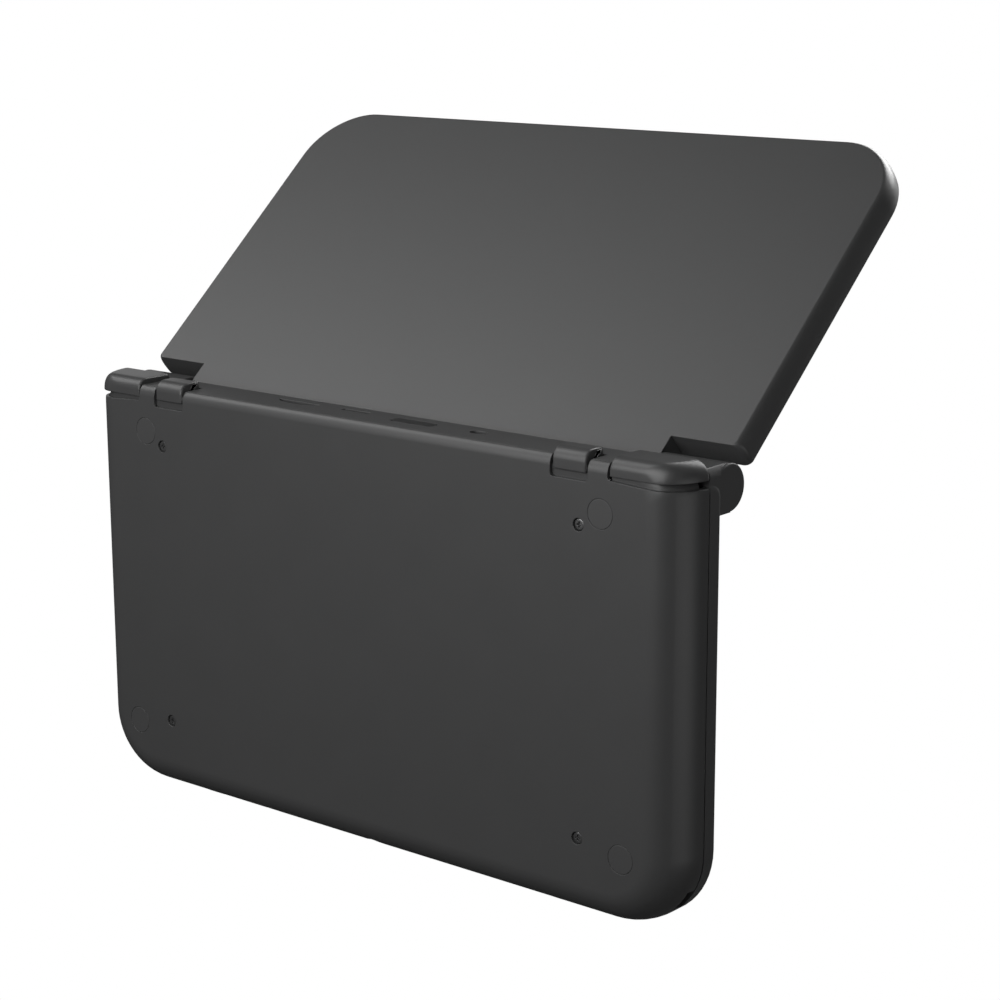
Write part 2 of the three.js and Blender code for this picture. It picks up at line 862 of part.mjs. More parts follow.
function stylus() {
  const back = stylusLength - halfDepth;
  const shaft = lengthwise(stylusRadius, -halfDepth, back - stylusTip, stylusX, stylusZ);
  const point = stylusRadius / 2;
  const tip = lengthwise(point, back - stylusTip, back, stylusX, stylusZ, stylusRadius);
  return join(shaft.intersect(envelope(0, 0, seamHeight)), tip);
}

// Fixings

function foot() {
  return upright(footRadius, 0, footThickness);
}

function coverScrew() {
  const headTop = screwHeadFace + screwHeadHeight;
  const arm = screwHeadRadius * screwCrossShare;
  const half = screwCross / 2;
  const deep = headTop / 2 + seatGap;
  const head = upright(screwHeadRadius, screwHeadFace, headTop);
  const body = join(head, upright(screwRadius, headTop, screwEnd));
  const across = block(-arm, arm, -half, half, -overrun, deep);
  const along = block(-half, half, -arm, arm, -overrun, deep);
  return cut(body, across, along);
}

function strapPin() {
  return upright(strapPinRadius, strapBottom - strapPinRadius, seamHeight);
}

function hingePin() {
  return crosswise(pinRadius, pinStart, pinEnd);
}

function triggerPin() {
  return upright(triggerPinRadius, triggerPinBottom, triggerPinTop);
}

// Triggers

function innerTriggerProfile() {
  const low = innerLowRound;
  const high = innerHighRound;
  const shape = new THREE.Shape();
  shape.moveTo(innerFront, innerBottom + innerGap);
  shape.lineTo(innerFront + innerGap, innerBottom);
  shape.absarc(innerBack - low, innerBottom + low, low, -quarterTurn, 0);
  shape.absarc(innerBack - high, innerTop - high, high, 0, quarterTurn);
  shape.lineTo(innerFront, innerTop);
  return shape;
}

function innerTrigger(side) {
  const start = innerCutStart + innerGap;
  const end = innerCutEnd - innerGap;
  const wide = [innerCutStart - flangeSpread, innerCutEnd + flangeSpread];
  const floor = wall + runGap + seatGap;
  const push = start + 2 * seatGap;
  return join(
    prismX(innerTriggerProfile(), side * start, side * end),
    sideBlock(side, ...wide, flangeFront, flangeStart + flangeThickness, floor, floor + ledgeHeight),
    sideBlock(side, ...wide, flangeStart, flangeStart + flangeThickness, floor, flangeTop),
    sideBlock(side, push, push + stemWidth, stemFront, flangeStart + seatGap, stemBottom,
      stemBottom + stemHeight),
  );
}

// One level of the cap: its back edge and corner, then the same points straight in front of them.
function capLevel(backInset, topInset, z) {
  const centreX = halfWidth + shoulderProud - sideInset(z, 0) - topInset - shoulderCorner;
  const centreY = shoulderBack - backInset - topInset - shoulderCorner;
  const turn = Math.acos((shoulderFront + shoulderLip - centreY) / shoulderCorner);
  const edge = [[shoulderStart, centreY + shoulderCorner]];
  for (let step = 0; step <= cornerSteps; step += 1) {
    const angle = quarterTurn - turn * (step / cornerSteps);
    edge.push([centreX + shoulderCorner * Math.cos(angle), centreY + shoulderCorner * Math.sin(angle)]);
  }
  const front = edge.map(([x]) => [x, shoulderFront]).reverse();
  return { points: [...edge, ...front].reverse(), z };
}

function shoulderCap() {
  const roundTop = shoulderBottom + shoulderLowRound;
  const levels = [];
  for (let step = 0; step <= arcSteps; step += 1) {
    const angle = (step / arcSteps) * quarterTurn;
    const inset = shoulderLowRound * (1 - Math.sin(angle));
    levels.push(capLevel(inset, 0, roundTop - shoulderLowRound * Math.cos(angle)));
  }
  const rise = shoulderTop - shoulderHighRound - roundTop;
  for (let step = 1; step < arcSteps; step += 1) {
    levels.push(capLevel(0, 0, roundTop + rise * (step / arcSteps)));
  }
  for (let step = 0; step <= arcSteps; step += 1) {
    const angle = (step / arcSteps) * quarterTurn;
    const z = shoulderTop - shoulderHighRound * (1 - Math.sin(angle));
    levels.push(capLevel(0, shoulderHighRound * (1 - Math.cos(angle)), z));
  }
  return stack(levels);
}

function shoulderTrigger(side) {
  const floor = wall + runGap + seatGap;
  const skirt = envelope(-skirtIn, floor, skirtTop)
    .intersect(sideBlock(side, shoulderStart, halfWidth, skirtFront, armBack, 0, baseHeight));
  const cap = side > 0 ? shoulderCap() : shoulderCap().mirror([1, 0, 0]);
  const body = join(
    cap,
    upright(earRadius, earBottom, earTop, side * pivotX, pivotY),
    sideBlock(side, pivotX + triggerPinRadius, armReach, armFront, armBack, earBottom, earTop),
    skirt,
  );
  return cut(body, upright(triggerPinRadius + seatGap, 0, baseHeight, side * pivotX, pivotY));
}

// Controls of the deck

function slidePad() {
  const rim = padTop - buttonChamfer;
  const cap = join(
    upright(padRadius, padBottom, rim),
    upright(padRadius, rim, padTop, 0, 0, padRadius - buttonChamfer),
    upright(padStem, padStemBottom, padBottom + seatGap),
  );
  const dish = padRadius - 2 * cupWall;
  return cut(cap, upright(dish - padDish, padTop - padDish, padTop + padDish, 0, 0, dish + padDish));
}

function slidePadCarrier() {
  const bottom = boardTop + runGap;
  const slot = 2 * (padStem + padTravel + runGap);
  const room = padStem + runGap;
  const plate = block(-carrierWidth / 2, carrierWidth / 2, -carrierLength / 2, carrierLength / 2,
    bottom, bottom + carrierThickness);
  const web = bottom + carrierWeb;
  return cut(plate, block(-slot / 2, slot / 2, -room, room, web, bottom + 2 * carrierThickness));
}

function crossPad() {
  const edge = crossTop - buttonChamfer;
  return join(
    prismZ(crossShape(crossSpan, crossArm), crossBottom, edge),
    prismZ(crossShape(crossSpan - 2 * buttonChamfer, crossArm - buttonChamfer), edge, crossTop),
    upright(crossFlangeRadius, crossFlangeBottom, crossBottom - seatGap),
    upright(coreRadius, crossFlangeBottom, crossBottom + seatGap),
  );
}

function crossPadCore() {
  const bottom = boardTop + runGap;
  return upright(coreRadius, bottom, bottom + coreHeight);
}

function facePlaces() {
  return [
    [clusterX, clusterY + clusterSpread],
    [clusterX, clusterY - clusterSpread],
    [clusterX - clusterSpread, clusterY],
    [clusterX + clusterSpread, clusterY],
  ];
}

function roundButton(radius, top) {
  return join(
    upright(radius + buttonLip, buttonFoot, deckBottom - runGap),
    upright(radius, buttonFoot, top - buttonChamfer),
    upright(radius, top - buttonChamfer, top, 0, 0, radius - buttonChamfer),
  );
}

function homeButton() {
  const lip = 2 * buttonLip;
  return join(
    prismZ(oval(homeWidth + lip, homeHeight + lip), buttonFoot, deckBottom - runGap),
    prismZ(oval(homeWidth, homeHeight), buttonFoot, smallTop),
  );
}

function nub() {
  return join(
    upright(nubRadius, boardTop + seatGap, nubTop - nubRound),
    upright(nubRadius, nubTop - nubRound, nubTop, 0, 0, nubRadius - nubRound),
  );
}

function powerButton() {
  const front = -halfDepth - powerProud;
  const cap = prismY(oval(powerWidth, powerHeight), front, front + powerDepth, powerX, frontRowZ);
  return cap.intersect(envelope(powerProud, wall, seamHeight));
}

function lightPipe(x) {
  const bar = lengthwise(lightRadius, -halfDepth, cardFront, x, frontRowZ);
  return bar.intersect(envelope(0, wall, seamHeight));
}

// The lid, drawn closed about the hinge axis: y is minus the distance from the hinge, z is up through the lid

function lidOutline(inset, nearInset, nearCorner) {
  const right = halfWidth - inset;
  return outline(-right, right, inset - lidReach, -lidNotch - nearInset, lidFarCorner - inset, nearCorner);
}

function lidInset(z) {
  const high = quarterDrop((z - lidTop + lidEdgeDown) / lidEdgeDown) * lidEdgeIn;
  const low = quarterDrop((lidRimRound - lidRim - z) / lidRimRound) * lidRimRound;
  return high + low;
}

function lidBody() {
  const heights = [];
  for (let step = arcSteps; step > 0; step -= 2) {
    heights.push(lidRimRound - lidRim - lidRimRound * Math.sin((step / arcSteps) * quarterTurn));
  }
  for (let step = 0; step <= arcSteps; step += 1) {
    heights.push(lidTop - lidEdgeDown + lidEdgeDown * Math.sin((step / arcSteps) * quarterTurn));
  }
  return stack(heights.map((z) => ({ points: lidOutline(lidInset(z), 0, lidNearCorner), z })));
}

function lidPlate(inset, z0, z1) {
  const points = lidOutline(inset, inset, lidNearCorner);
  return stack([{ points, z: z0 }, { points, z: z1 }]);
}

function lidCover() {
  const tab = block(-barrelEnd, barrelEnd, -lidNotch - lidWall, 0, -tabDrop, lidTop);
  const bar = crosswise(barrelRadius, -barrelEnd, barrelEnd);
  const boreStart = pinStart - seatGap;
  const bore = (side) => crosswise(pinRadius + runGap, side * boreStart, side * (barrelEnd + overrun));
  return cut(
    join(lidBody(), tab, bar),
    lidPlate(lidWall, -lidRim - overrun, 0),
    lidPlate(lidWall + lidLedge, -overrun, cavityTop),
    ...sides.map(bore),
  );
}

function speakerHoles(side) {
  const holes = [];
  for (let row = -1; row <= 1; row += 1) {
    for (const column of [-0.5, 0.5]) {
      const x = side * speakerX + column * speakerHolePitch;
      const y = row * speakerHolePitch - speakerReach;
      holes.push(upright(speakerHoleRadius, -lidRim, overrun, x, y));
    }
  }
  return holes;
}

function sliderSlot(side) {
  const half = sliderWidth / 2 + runGap;
  const run = sliderLength / 2 + sliderTravel + runGap;
  const near = run - sliderReach;
  return sideBlock(side, sliderX - half, sliderX + half, -sliderReach - run, near, -lidRim, overrun);
}

function lidBezel() {
  const halfX = upperWindowWidth / 2;
  const halfY = upperWindowHeight / 2;
  const sunk = bumperSink - bezelDrop;
  return cut(
    lidPlate(lidWall + seatGap, -bezelDrop, bezelBack),
    block(-halfX, halfX, -upperWindowCentre - halfY, halfY - upperWindowCentre, -lidRim, overrun),
    upright(cameraRadius + seatGap, -lidRim, overrun, 0, -cameraReach),
    ...sides.map(sliderSlot),
    ...sides.flatMap(speakerHoles),
    ...sides.map((side) => upright(bumperRadius + seatGap, -lidRim, sunk, side * bumperX, -bumperReach)),
  );
}

function upperScreenGlass() {
  const halfX = upperWindowWidth / 2 - seatGap;
  const halfY = upperWindowHeight / 2 - seatGap;
  return block(-halfX, halfX, -upperWindowCentre - halfY, halfY - upperWindowCentre, seatGap / 2 - bezelDrop,
    bezelBack);
}

function upperScreenPanel() {
  const halfX = upperPanelWidth / 2;
  const halfY = upperPanelHeight / 2;
  const start = bezelBack + seatGap;
  return block(-halfX, halfX, -upperWindowCentre - halfY, halfY - upperWindowCentre, start,
    start + upperPanelThickness);
}

function innerCamera() {
  return upright(cameraRadius, cameraSink - bezelDrop, cavityTop - seatGap);
}

function speaker() {
  const start = bezelBack + seatGap;
  return block(-speakerWidth / 2, speakerWidth / 2, -speakerLength / 2, speakerLength / 2, start,
    start + upperPanelThickness);
}

function slider() {
  const halfX = sliderWidth / 2;
  const halfY = sliderLength / 2;
  const back = bezelBack + runGap;
  return join(
    block(-halfX, halfX, -halfY, halfY, -bezelDrop - sliderProud, back + sliderLip),
    block(-halfX - sliderLip, halfX + sliderLip, -halfY - sliderLip, halfY + sliderLip, back,
      back + sliderLip),
  );
}

function bumper() {
  return upright(bumperRadius, -bumperDrop, bumperSink - bezelDrop - seatGap);
}

// Materials and the scene graph

function material(color, roughness, metalness = 0) {
  return new THREE.MeshStandardMaterial({ color, roughness, metalness, flatShading: true });
}

const shellPaint = material(0x4b4b4d, 0.42, 0.25);
const lidPaint = material(0x545456, 0.4, 0.25);
const innerPlastic = material(0x2a2a2c, 0.55);
const triggerPlastic = material(0x38383a, 0.45);
const keyPlastic = material(0x303032, 0.35);
const screenGlass = material(0x0b0c0e, 0.08);
const panelMetal = material(0x9a9c9e, 0.4, 0.8);
const boardGreen = material(0x24513a, 0.6);
const cellWrap = material(0x3c3c40, 0.5);
const steel = material(0xb4b5b8, 0.3, 1);
const darkSteel = material(0x3a3a3c, 0.4, 0.8);
const rubber = material(0x2c2c2d, 0.8);
const clearPipe = material(0xd8dcde, 0.2);
const smokedPlastic = material(0x151417, 0.15);

function add(group, name, solid, paint, x = 0, y = 0, z = 0) {
  const mesh = new THREE.Mesh(geometryFrom(solid), paint);
  mesh.name = name;
  mesh.position.set(x, y, z);
  group.add(mesh);
}

const sideNames = ["left", "right"];
const cornerNames = ["front_left", "front_right", "back_left", "back_right"];
const faceNames = ["back", "front", "left", "right"];

function makeBase() {
  const base = new THREE.Group();
  add(base, "rear_cover", rearCover(), shellPaint);
  add(base, "base_top_shell", baseTopShell(), shellPaint);
  add(base, "touch_screen_glass", touchScreenGlass(), screenGlass);
  add(base, "touch_screen_panel", touchScreenPanel(), panelMetal);
  add(base, "main_board", mainBoard(), boardGreen);
  add(base, "battery", battery(), cellWrap);
  add(base, "card_slot_cage", cardSlotCage(), steel);
  add(base, "headphone_jack", headphoneJack(), innerPlastic);
  add(base, "charge_port", chargePort(), innerPlastic);
  add(base, "infrared_window", infraredWindow(), smokedPlastic);
  add(base, "power_light", lightPipe(powerLightX), clearPipe);
  add(base, "charge_light", lightPipe(chargeLightX), clearPipe);
  add(base, "nub", nub(), rubber, nubX, nubY);
  const [pinX, pinY] = strapPinPlace();
  add(base, "strap_pin", strapPin(), steel, pinX, pinY);
  cornerNames.forEach((corner, index) => {
    add(base, "foot_" + corner, foot(), rubber, ...feetPlaces[index]);
    add(base, "cover_screw_" + corner, coverScrew(), darkSteel, ...screwPlaces[index]);
  });
  sides.forEach((side, index) => {
    const x = side < 0 ? -pinStart - pinEnd : 0;
    add(base, "hinge_pin_" + sideNames[index], hingePin(), steel, x, hingeY, hingeZ);
    add(base, "trigger_pin_" + sideNames[index], triggerPin(), steel, side * pivotX, pivotY);
  });
  return base;
}

function makeControls() {
  const controls = new THREE.Group();
  add(controls, "slide_pad", slidePad(), rubber, padX, padY);
  add(controls, "slide_pad_carrier", slidePadCarrier(), innerPlastic, padX, padY);
  add(controls, "cross_pad", crossPad(), keyPlastic, crossX, crossY);
  add(controls, "cross_pad_core", crossPadCore(), innerPlastic, crossX, crossY);
  const places = facePlaces();
  faceNames.forEach((name, index) => {
    add(controls, "face_button_" + name, roundButton(faceRadius, buttonTop), keyPlastic, ...places[index]);
  });
  add(controls, "start_button", roundButton(smallRadius, smallTop), keyPlastic, smallX, startY);
  add(controls, "select_button", roundButton(smallRadius, smallTop), keyPlastic, smallX, selectY);
  add(controls, "home_button", homeButton(), keyPlastic, 0, homeY);
  add(controls, "power_button", powerButton(), keyPlastic);
  add(controls, "stylus", stylus(), innerPlastic);
  sides.forEach((side, index) => {
    add(controls, "inner_trigger_" + sideNames[index], innerTrigger(side), triggerPlastic);
    add(controls, "shoulder_trigger_" + sideNames[index], shoulderTrigger(side), triggerPlastic);
  });
  return controls;
}

function makeLid() {
  const lid = new THREE.Group();
  add(lid, "lid_cover", lidCover(), lidPaint);
  add(lid, "lid_bezel", lidBezel(), innerPlastic);
  add(lid, "upper_screen_glass", upperScreenGlass(), screenGlass);
  add(lid, "upper_screen_panel", upperScreenPanel(), panelMetal);
  add(lid, "inner_camera", innerCamera(), smokedPlastic, 0, -cameraReach);
  sides.forEach((side, index) => {
    const name = sideNames[index];
    add(lid, "speaker_" + name, speaker(), darkSteel, side * speakerX, -speakerReach);
    add(lid, "lid_bumper_" + name, bumper(), rubber, side * bumperX, -bumperReach);
  });
  add(lid, "volume_slider", slider(), keyPlastic, -sliderX, -sliderReach);
  add(lid, "depth_slider", slider(), keyPlastic, sliderX, -sliderReach);
  lid.position.set(0, hingeY, hingeZ);
  lid.rotation.x = -THREE.MathUtils.degToRad(openDegrees);
  return lid;
}

const gameConsole = new THREE.Group();
gameConsole.add(makeBase(), makeControls(), makeLid());

export default gameConsole;
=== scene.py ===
import bpy
import bmesh
import math
from mathutils import Euler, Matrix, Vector


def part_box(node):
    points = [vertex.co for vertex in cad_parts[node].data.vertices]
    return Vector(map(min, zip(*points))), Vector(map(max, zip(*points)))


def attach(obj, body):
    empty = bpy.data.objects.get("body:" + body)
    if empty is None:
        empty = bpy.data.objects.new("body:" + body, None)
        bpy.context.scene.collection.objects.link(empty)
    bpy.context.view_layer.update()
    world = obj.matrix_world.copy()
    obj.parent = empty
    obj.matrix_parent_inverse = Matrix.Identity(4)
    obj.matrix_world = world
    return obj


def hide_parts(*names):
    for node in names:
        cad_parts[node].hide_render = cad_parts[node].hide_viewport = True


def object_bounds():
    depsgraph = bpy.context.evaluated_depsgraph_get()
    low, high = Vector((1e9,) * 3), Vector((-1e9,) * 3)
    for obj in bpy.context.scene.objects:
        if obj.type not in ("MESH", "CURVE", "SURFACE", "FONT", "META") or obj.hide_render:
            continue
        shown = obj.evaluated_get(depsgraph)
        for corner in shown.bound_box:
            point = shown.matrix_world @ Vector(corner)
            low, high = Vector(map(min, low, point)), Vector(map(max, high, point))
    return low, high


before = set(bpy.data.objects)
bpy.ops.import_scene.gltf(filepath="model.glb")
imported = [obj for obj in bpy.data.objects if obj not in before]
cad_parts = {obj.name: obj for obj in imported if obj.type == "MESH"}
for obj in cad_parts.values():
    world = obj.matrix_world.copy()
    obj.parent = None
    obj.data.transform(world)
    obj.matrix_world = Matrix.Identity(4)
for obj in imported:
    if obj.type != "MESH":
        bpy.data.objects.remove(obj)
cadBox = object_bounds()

millimetre = 0.001  # every size below is in millimetres, and newPiece turns it into metres
quarterTurn = math.pi / 2
sliver = 0.02  # the least radius of a corner, and the straight part that a rounded end keeps
overrun = 1  # how far a cutting tool stands past what it cuts


# Shader maths

class Wire:  # a value socket that works in an expression
    def __init__(self, paint, socket):
        self.paint = paint
        self.socket = socket

    def maths(self, operation, first, second):
        return self.paint.node("ShaderNodeMath", {"operation": operation}, {0: first, 1: second})

    def __add__(self, other):
        return self.maths("ADD", self, other)

    def __radd__(self, other):
        return self.maths("ADD", other, self)

    def __sub__(self, other):
        return self.maths("SUBTRACT", self, other)

    def __rsub__(self, other):
        return self.maths("SUBTRACT", other, self)

    def __mul__(self, other):
        return self.maths("MULTIPLY", self, other)

    def __rmul__(self, other):
        return self.maths("MULTIPLY", other, self)


class Paint:  # a node tree, and the one way that nodes are added to it
    def __init__(self, owner):
        owner.use_nodes = True
        self.owner = owner
        self.tree = owner.node_tree
        self.tree.nodes.clear()

    def node(self, kind, settings=None, sockets=None, output=0):
        made = self.tree.nodes.new(kind)
        for key, value in (settings or {}).items():
            setattr(made, key, value)
        for key, value in (sockets or {}).items():
            if isinstance(value, Wire):
                self.tree.links.new(value.socket, made.inputs[key])
            else:
                made.inputs[key].default_value = value
        return Wire(self, made.outputs[output])

    def grain(self, size, detail, roughness=0.5):  # noise whose grains are about that many millimetres
        place = self.node("ShaderNodeTexCoord", output="Object")
        return self.node("ShaderNodeTexNoise", {}, {
            "Vector": place, "Scale": 1 / (size * millimetre), "Detail": detail, "Roughness": roughness})

    def blend(self, factor, first, second):  # two colours mixed by a value
        return self.node("ShaderNodeMix", {"data_type": "RGBA"}, {0: factor, 6: first, 7: second}, output=2)

    def ramp(self, value, low, high, kind="LINEAR"):  # 0 to 1 between two levels of a value
        return self.node("ShaderNodeMapRange", {"interpolation_type": kind},
                         {"Value": value, "From Min": low, "From Max": high})

    def finish(self, shader, target="ShaderNodeOutputMaterial"):
        output = self.tree.nodes.new(target)
        self.tree.links.new(shader.socket, output.inputs["Surface"])
        return self.owner


def grey(level, tint=0.0):  # a colour from its brightness, with a trace of blue
    return (level * (1 - tint), level, level * (1 + 2 * tint), 1)


# Materials: every surface has one recipe, and each entry sets what differs from the plain look

plainLook = {
    "dark": 0.05, "light": 0.06, "tint": 0.004, "roughness": 0.4, "sheenChange": 0.06, "sheenCloud": 0.05,
    "grainSize": 0.35, "cloudSize": 14, "relief": 0.12, "softEdge": 0.25, "metal": 0.0, "coat": 0.0,
}
recipe = {
    "fineDetail": 3.0, "cloudDetail": 2.0, "cloudRoughness": 0.6, "fleckScale": 2.5, "fleckDetail": 1.0,
    "cloudShare": 0.6, "noiseMiddle": 0.5, "reliefDepth": 0.0002, "bevelSamples": 4, "refraction": 1.5,
    "coatRoughness": 0.3,
}


def moulded(name, **changes):
    look = {**plainLook, **changes}
    paint = Paint(bpy.data.materials.new(name))
    fine = paint.grain(look["grainSize"], recipe["fineDetail"])
    cloud = paint.grain(look["cloudSize"], recipe["cloudDetail"], recipe["cloudRoughness"])
    flecks = paint.grain(look["grainSize"] * recipe["fleckScale"], recipe["fleckDetail"])
    share, middle = recipe["cloudShare"], recipe["noiseMiddle"]
    tone = cloud * share + flecks * (1 - share)
    colour = paint.blend(tone, grey(look["dark"], look["tint"]), grey(look["light"], look["tint"]))
    roughness = ((fine - middle) * look["sheenChange"] + (cloud - middle) * look["sheenCloud"]
                 + look["roughness"])
    soft = paint.node("ShaderNodeBevel", {"samples": recipe["bevelSamples"]},
                      {"Radius": look["softEdge"] * millimetre})
    normal = paint.node("ShaderNodeBump", {}, {
        "Strength": look["relief"], "Distance": look["grainSize"] * recipe["reliefDepth"], "Height": fine,
        "Normal": soft})
    return paint.finish(paint.node("ShaderNodeBsdfPrincipled", {}, {
        "Base Color": colour, "Roughness": roughness, "Normal": normal, "Metallic": look["metal"],
        "IOR": recipe["refraction"], "Coat Weight": look["coat"], "Coat Roughness": recipe["coatRoughness"]}))


materials = {
    "shell": moulded("satinShell", dark=0.052, light=0.058),
    "lid_shell": moulded("satinLid", dark=0.052, light=0.058),
    "trigger_plastic": moulded("triggerPlastic", dark=0.051, light=0.057, roughness=0.38),
    "inner_plastic": moulded(
        "mattInnerPlastic", dark=0.016, light=0.02, roughness=0.55, grainSize=0.5, relief=0.35),
    "key_plastic": moulded("keyPlastic", dark=0.02, light=0.024, roughness=0.28, relief=0.05, coat=0.2),
    "rubber_parts": moulded("mattRubber", dark=0.05, light=0.056, roughness=0.5, grainSize=0.25, relief=0.25),
    "screen_glass": moulded(
        "screenGlass", dark=0.004, light=0.0055, tint=0.02, roughness=0.07, sheenChange=0.01, sheenCloud=0.05,
        cloudSize=30, relief=0.0, coat=0.6),
    "smoked_plastic": moulded("smokedPlastic", dark=0.006, light=0.008, roughness=0.12, relief=0.02, coat=0.3),
    "panel_metal": moulded("panelMetal", dark=0.45, light=0.55, roughness=0.35, metal=1.0, grainSize=0.15),
    "cage_steel": moulded("cageSteel", dark=0.5, light=0.62, roughness=0.3, metal=1.0, grainSize=0.12),
    "pin_steel": moulded("pinSteel", dark=0.5, light=0.58, roughness=0.25, metal=1.0, grainSize=0.1),
    "screw_steel": moulded(
        "blackenedSteel", dark=0.15, light=0.2, roughness=0.35, metal=0.8, grainSize=0.12, softEdge=0.08),
    "speaker_metal": moulded("speakerMetal", dark=0.05, light=0.07, roughness=0.4, metal=0.8, grainSize=0.15),
    "board": moulded("boardMask", dark=0.012, light=0.02, tint=-0.25, roughness=0.4, grainSize=0.6, coat=0.2),
    "cell_wrap": moulded("cellWrap", dark=0.03, light=0.04, roughness=0.3),
    "clear_plastic": moulded("frostedPipe", dark=0.6, light=0.68, roughness=0.3, relief=0.02),
}
print("materials made:", len(materials))


# Mesh tools

meshing = {"weld": 0.0005, "roundSteps": 5, "pieceSharp": 32, "nodeWeld": 0.000002, "nodeSharp": 35}
sides = (-1, 1)
sideNames = {-1: "left", 1: "right"}


def span(side, inner, outer):  # two distances from the middle, as a left and a right edge
    return (inner, outer) if side > 0 else (-outer, -inner)


def spans(inner, outer):  # the same stretch on both sides
    return [span(side, inner, outer) for side in sides]


def around(x, y, halfX, halfY):  # the edges of a rectangle, from its middle
    return (x - halfX, x + halfX, y - halfY, y + halfY)


def pill(x, y, halfX, halfY):  # the edges and radii of a rectangle whose narrow ends are round
    return around(x, y, halfX, halfY), [min(halfX, halfY) - sliver] * 4


def turns(steps):  # angles from 0 to a quarter turn
    return [step / steps * quarterTurn for step in range(steps + 1)]


def quarterDrop(rise):  # how far a unit quarter circle has curved in after that rise
    held = min(max(rise, 0), 1)
    return 1 - math.sqrt(1 - held * held)


def outline(left, right, front, back, radii, steps=8):  # radii: front right, back right, back left, front left
    signs = ((1, -1), (1, 1), (-1, 1), (-1, -1))
    points = []
    for turn, ((signX, signY), radius) in enumerate(zip(signs, radii)):
        centreX = (right if signX > 0 else left) - signX * radius
        centreY = (back if signY > 0 else front) - signY * radius
        points += arc(centreX, centreY, radius, turn - 1, turn, steps)
    return points


def arc(a, b, radius, start, end, steps):  # points round a centre, with angles in quarter turns
    angles = [(start + (end - start) * step / steps) * quarterTurn for step in range(steps + 1)]
    return [(a + radius * math.cos(angle), b + radius * math.sin(angle)) for angle in angles]


def circle(x, y, radius, count):
    return arc(x, y, radius, 0, 4, count)[:-1]


def placed(points, axis, along):  # outline points at one place along an axis
    spot = "xyz".index(axis)
    return [(*point[:spot], along, *point[spot:]) for point in points]


def addStack(mesh, rings, strips=False):  # a solid skinned over rings, its ends one face each or quads across
    rows = [[mesh.verts.new(point) for point in ring] for ring in rings]
    count = len(rings[0])
    for low, high in zip(rows, rows[1:]):
        for index in range(count):
            follow = (index + 1) % count
            mesh.faces.new((low[index], low[follow], high[follow], high[index]))
    if strips:
        for row in (rows[0], rows[-1]):
            for index in range(count // 2 - 1):
                mesh.faces.new((row[index], row[index + 1], row[-2 - index], row[-1 - index]))
    else:
        mesh.faces.new(rows[0][::-1])
        mesh.faces.new(rows[-1])


def addPrism(mesh, points, axis, start, end):
    addStack(mesh, [placed(points, axis, along) for along in (start, end)])


def addBox(mesh, x0, x1, y0, y1, z0, z1):
    addPrism(mesh, [(x0, y0), (x1, y0), (x1, y1), (x0, y1)], "z", z0, z1)


def softBlock(mesh, axis, start, end, edges, radii, roundStart=0.0, roundEnd=0.0, steps=8):
    left, right, front, back = edges
    angles = turns(meshing["roundSteps"])
    lowRises = [math.cos(angle) for angle in angles] if roundStart else [1]
    highRises = [math.sin(angle) for angle in angles] if roundEnd else [1]
    stops = [(start + roundStart * (1 - rise), roundStart * quarterDrop(rise)) for rise in lowRises]
    stops += [(end - roundEnd * (1 - rise), roundEnd * quarterDrop(rise)) for rise in highRises]
    rings = []
    for along, inset in stops:
        corners = [max(radius - inset, sliver) for radius in radii]
        points = outline(left + inset, right - inset, front + inset, back - inset, corners, steps)
        rings.append(placed(points, axis, along))
    addStack(mesh, rings)


def addRod(mesh, axis, start, end, a, b, radius, roundStart=0.0, roundEnd=0.0, steps=8):
    softBlock(mesh, axis, start, end, around(a, b, radius, radius), [radius] * 4, roundStart, roundEnd, steps)


def newObject(name, data):
    made = bpy.data.objects.new(name, data)
    bpy.context.scene.collection.objects.link(made)
    return made


def newPiece(name, build):  # build fills an empty mesh in millimetres
    work = bmesh.new()
    build(work)
    bmesh.ops.remove_doubles(work, verts=work.verts, dist=meshing["weld"])
    bmesh.ops.recalc_face_normals(work, faces=work.faces)
    bmesh.ops.scale(work, vec=Vector((millimetre,) * 3), verts=work.verts)
    mesh = bpy.data.meshes.new(name)
    work.to_mesh(mesh)
    work.free()
    return newObject(name, mesh)


def carve(piece, build, operation="DIFFERENCE"):  # cuts or joins with another piece, or a mesh that build fills
    tool = build if isinstance(build, bpy.types.Object) else newPiece("tool", build)
    change = piece.modifiers.new("carve", "BOOLEAN")
    change.operation = operation
    change.object = tool
    change.solver = "EXACT"
    change.use_self = True
    graph = bpy.context.evaluated_depsgraph_get()
    made = bpy.data.meshes.new_from_object(piece.evaluated_get(graph))
    piece.modifiers.clear()
    old = piece.data
    piece.data = made
    toolMesh = tool.data
    bpy.data.objects.remove(tool)
    for mesh in (old, toolMesh):
        bpy.data.meshes.remove(mesh)
    return piece


def joined(name, first, *others):  # a piece that grows by one build or piece after another
    piece = newPiece(name, first)
    for other in others:
        carve(piece, other, "UNION")
    return piece


def smoothed(piece, slotName):
    piece.data.materials.clear()
    piece.data.materials.append(materials[slotName])
    piece.data.shade_smooth()
    piece.modifiers.new("evenNormals", "WEIGHTED_NORMAL").keep_sharp = True


def dress(piece, slotName, body, node=None):  # the node has its body's name where none is given
    smoothed(piece, slotName)
    piece.data.set_sharp_from_angle(angle=math.radians(meshing["pieceSharp"]))
    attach(piece, body)
    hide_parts(node or body)


# Outer form of the base

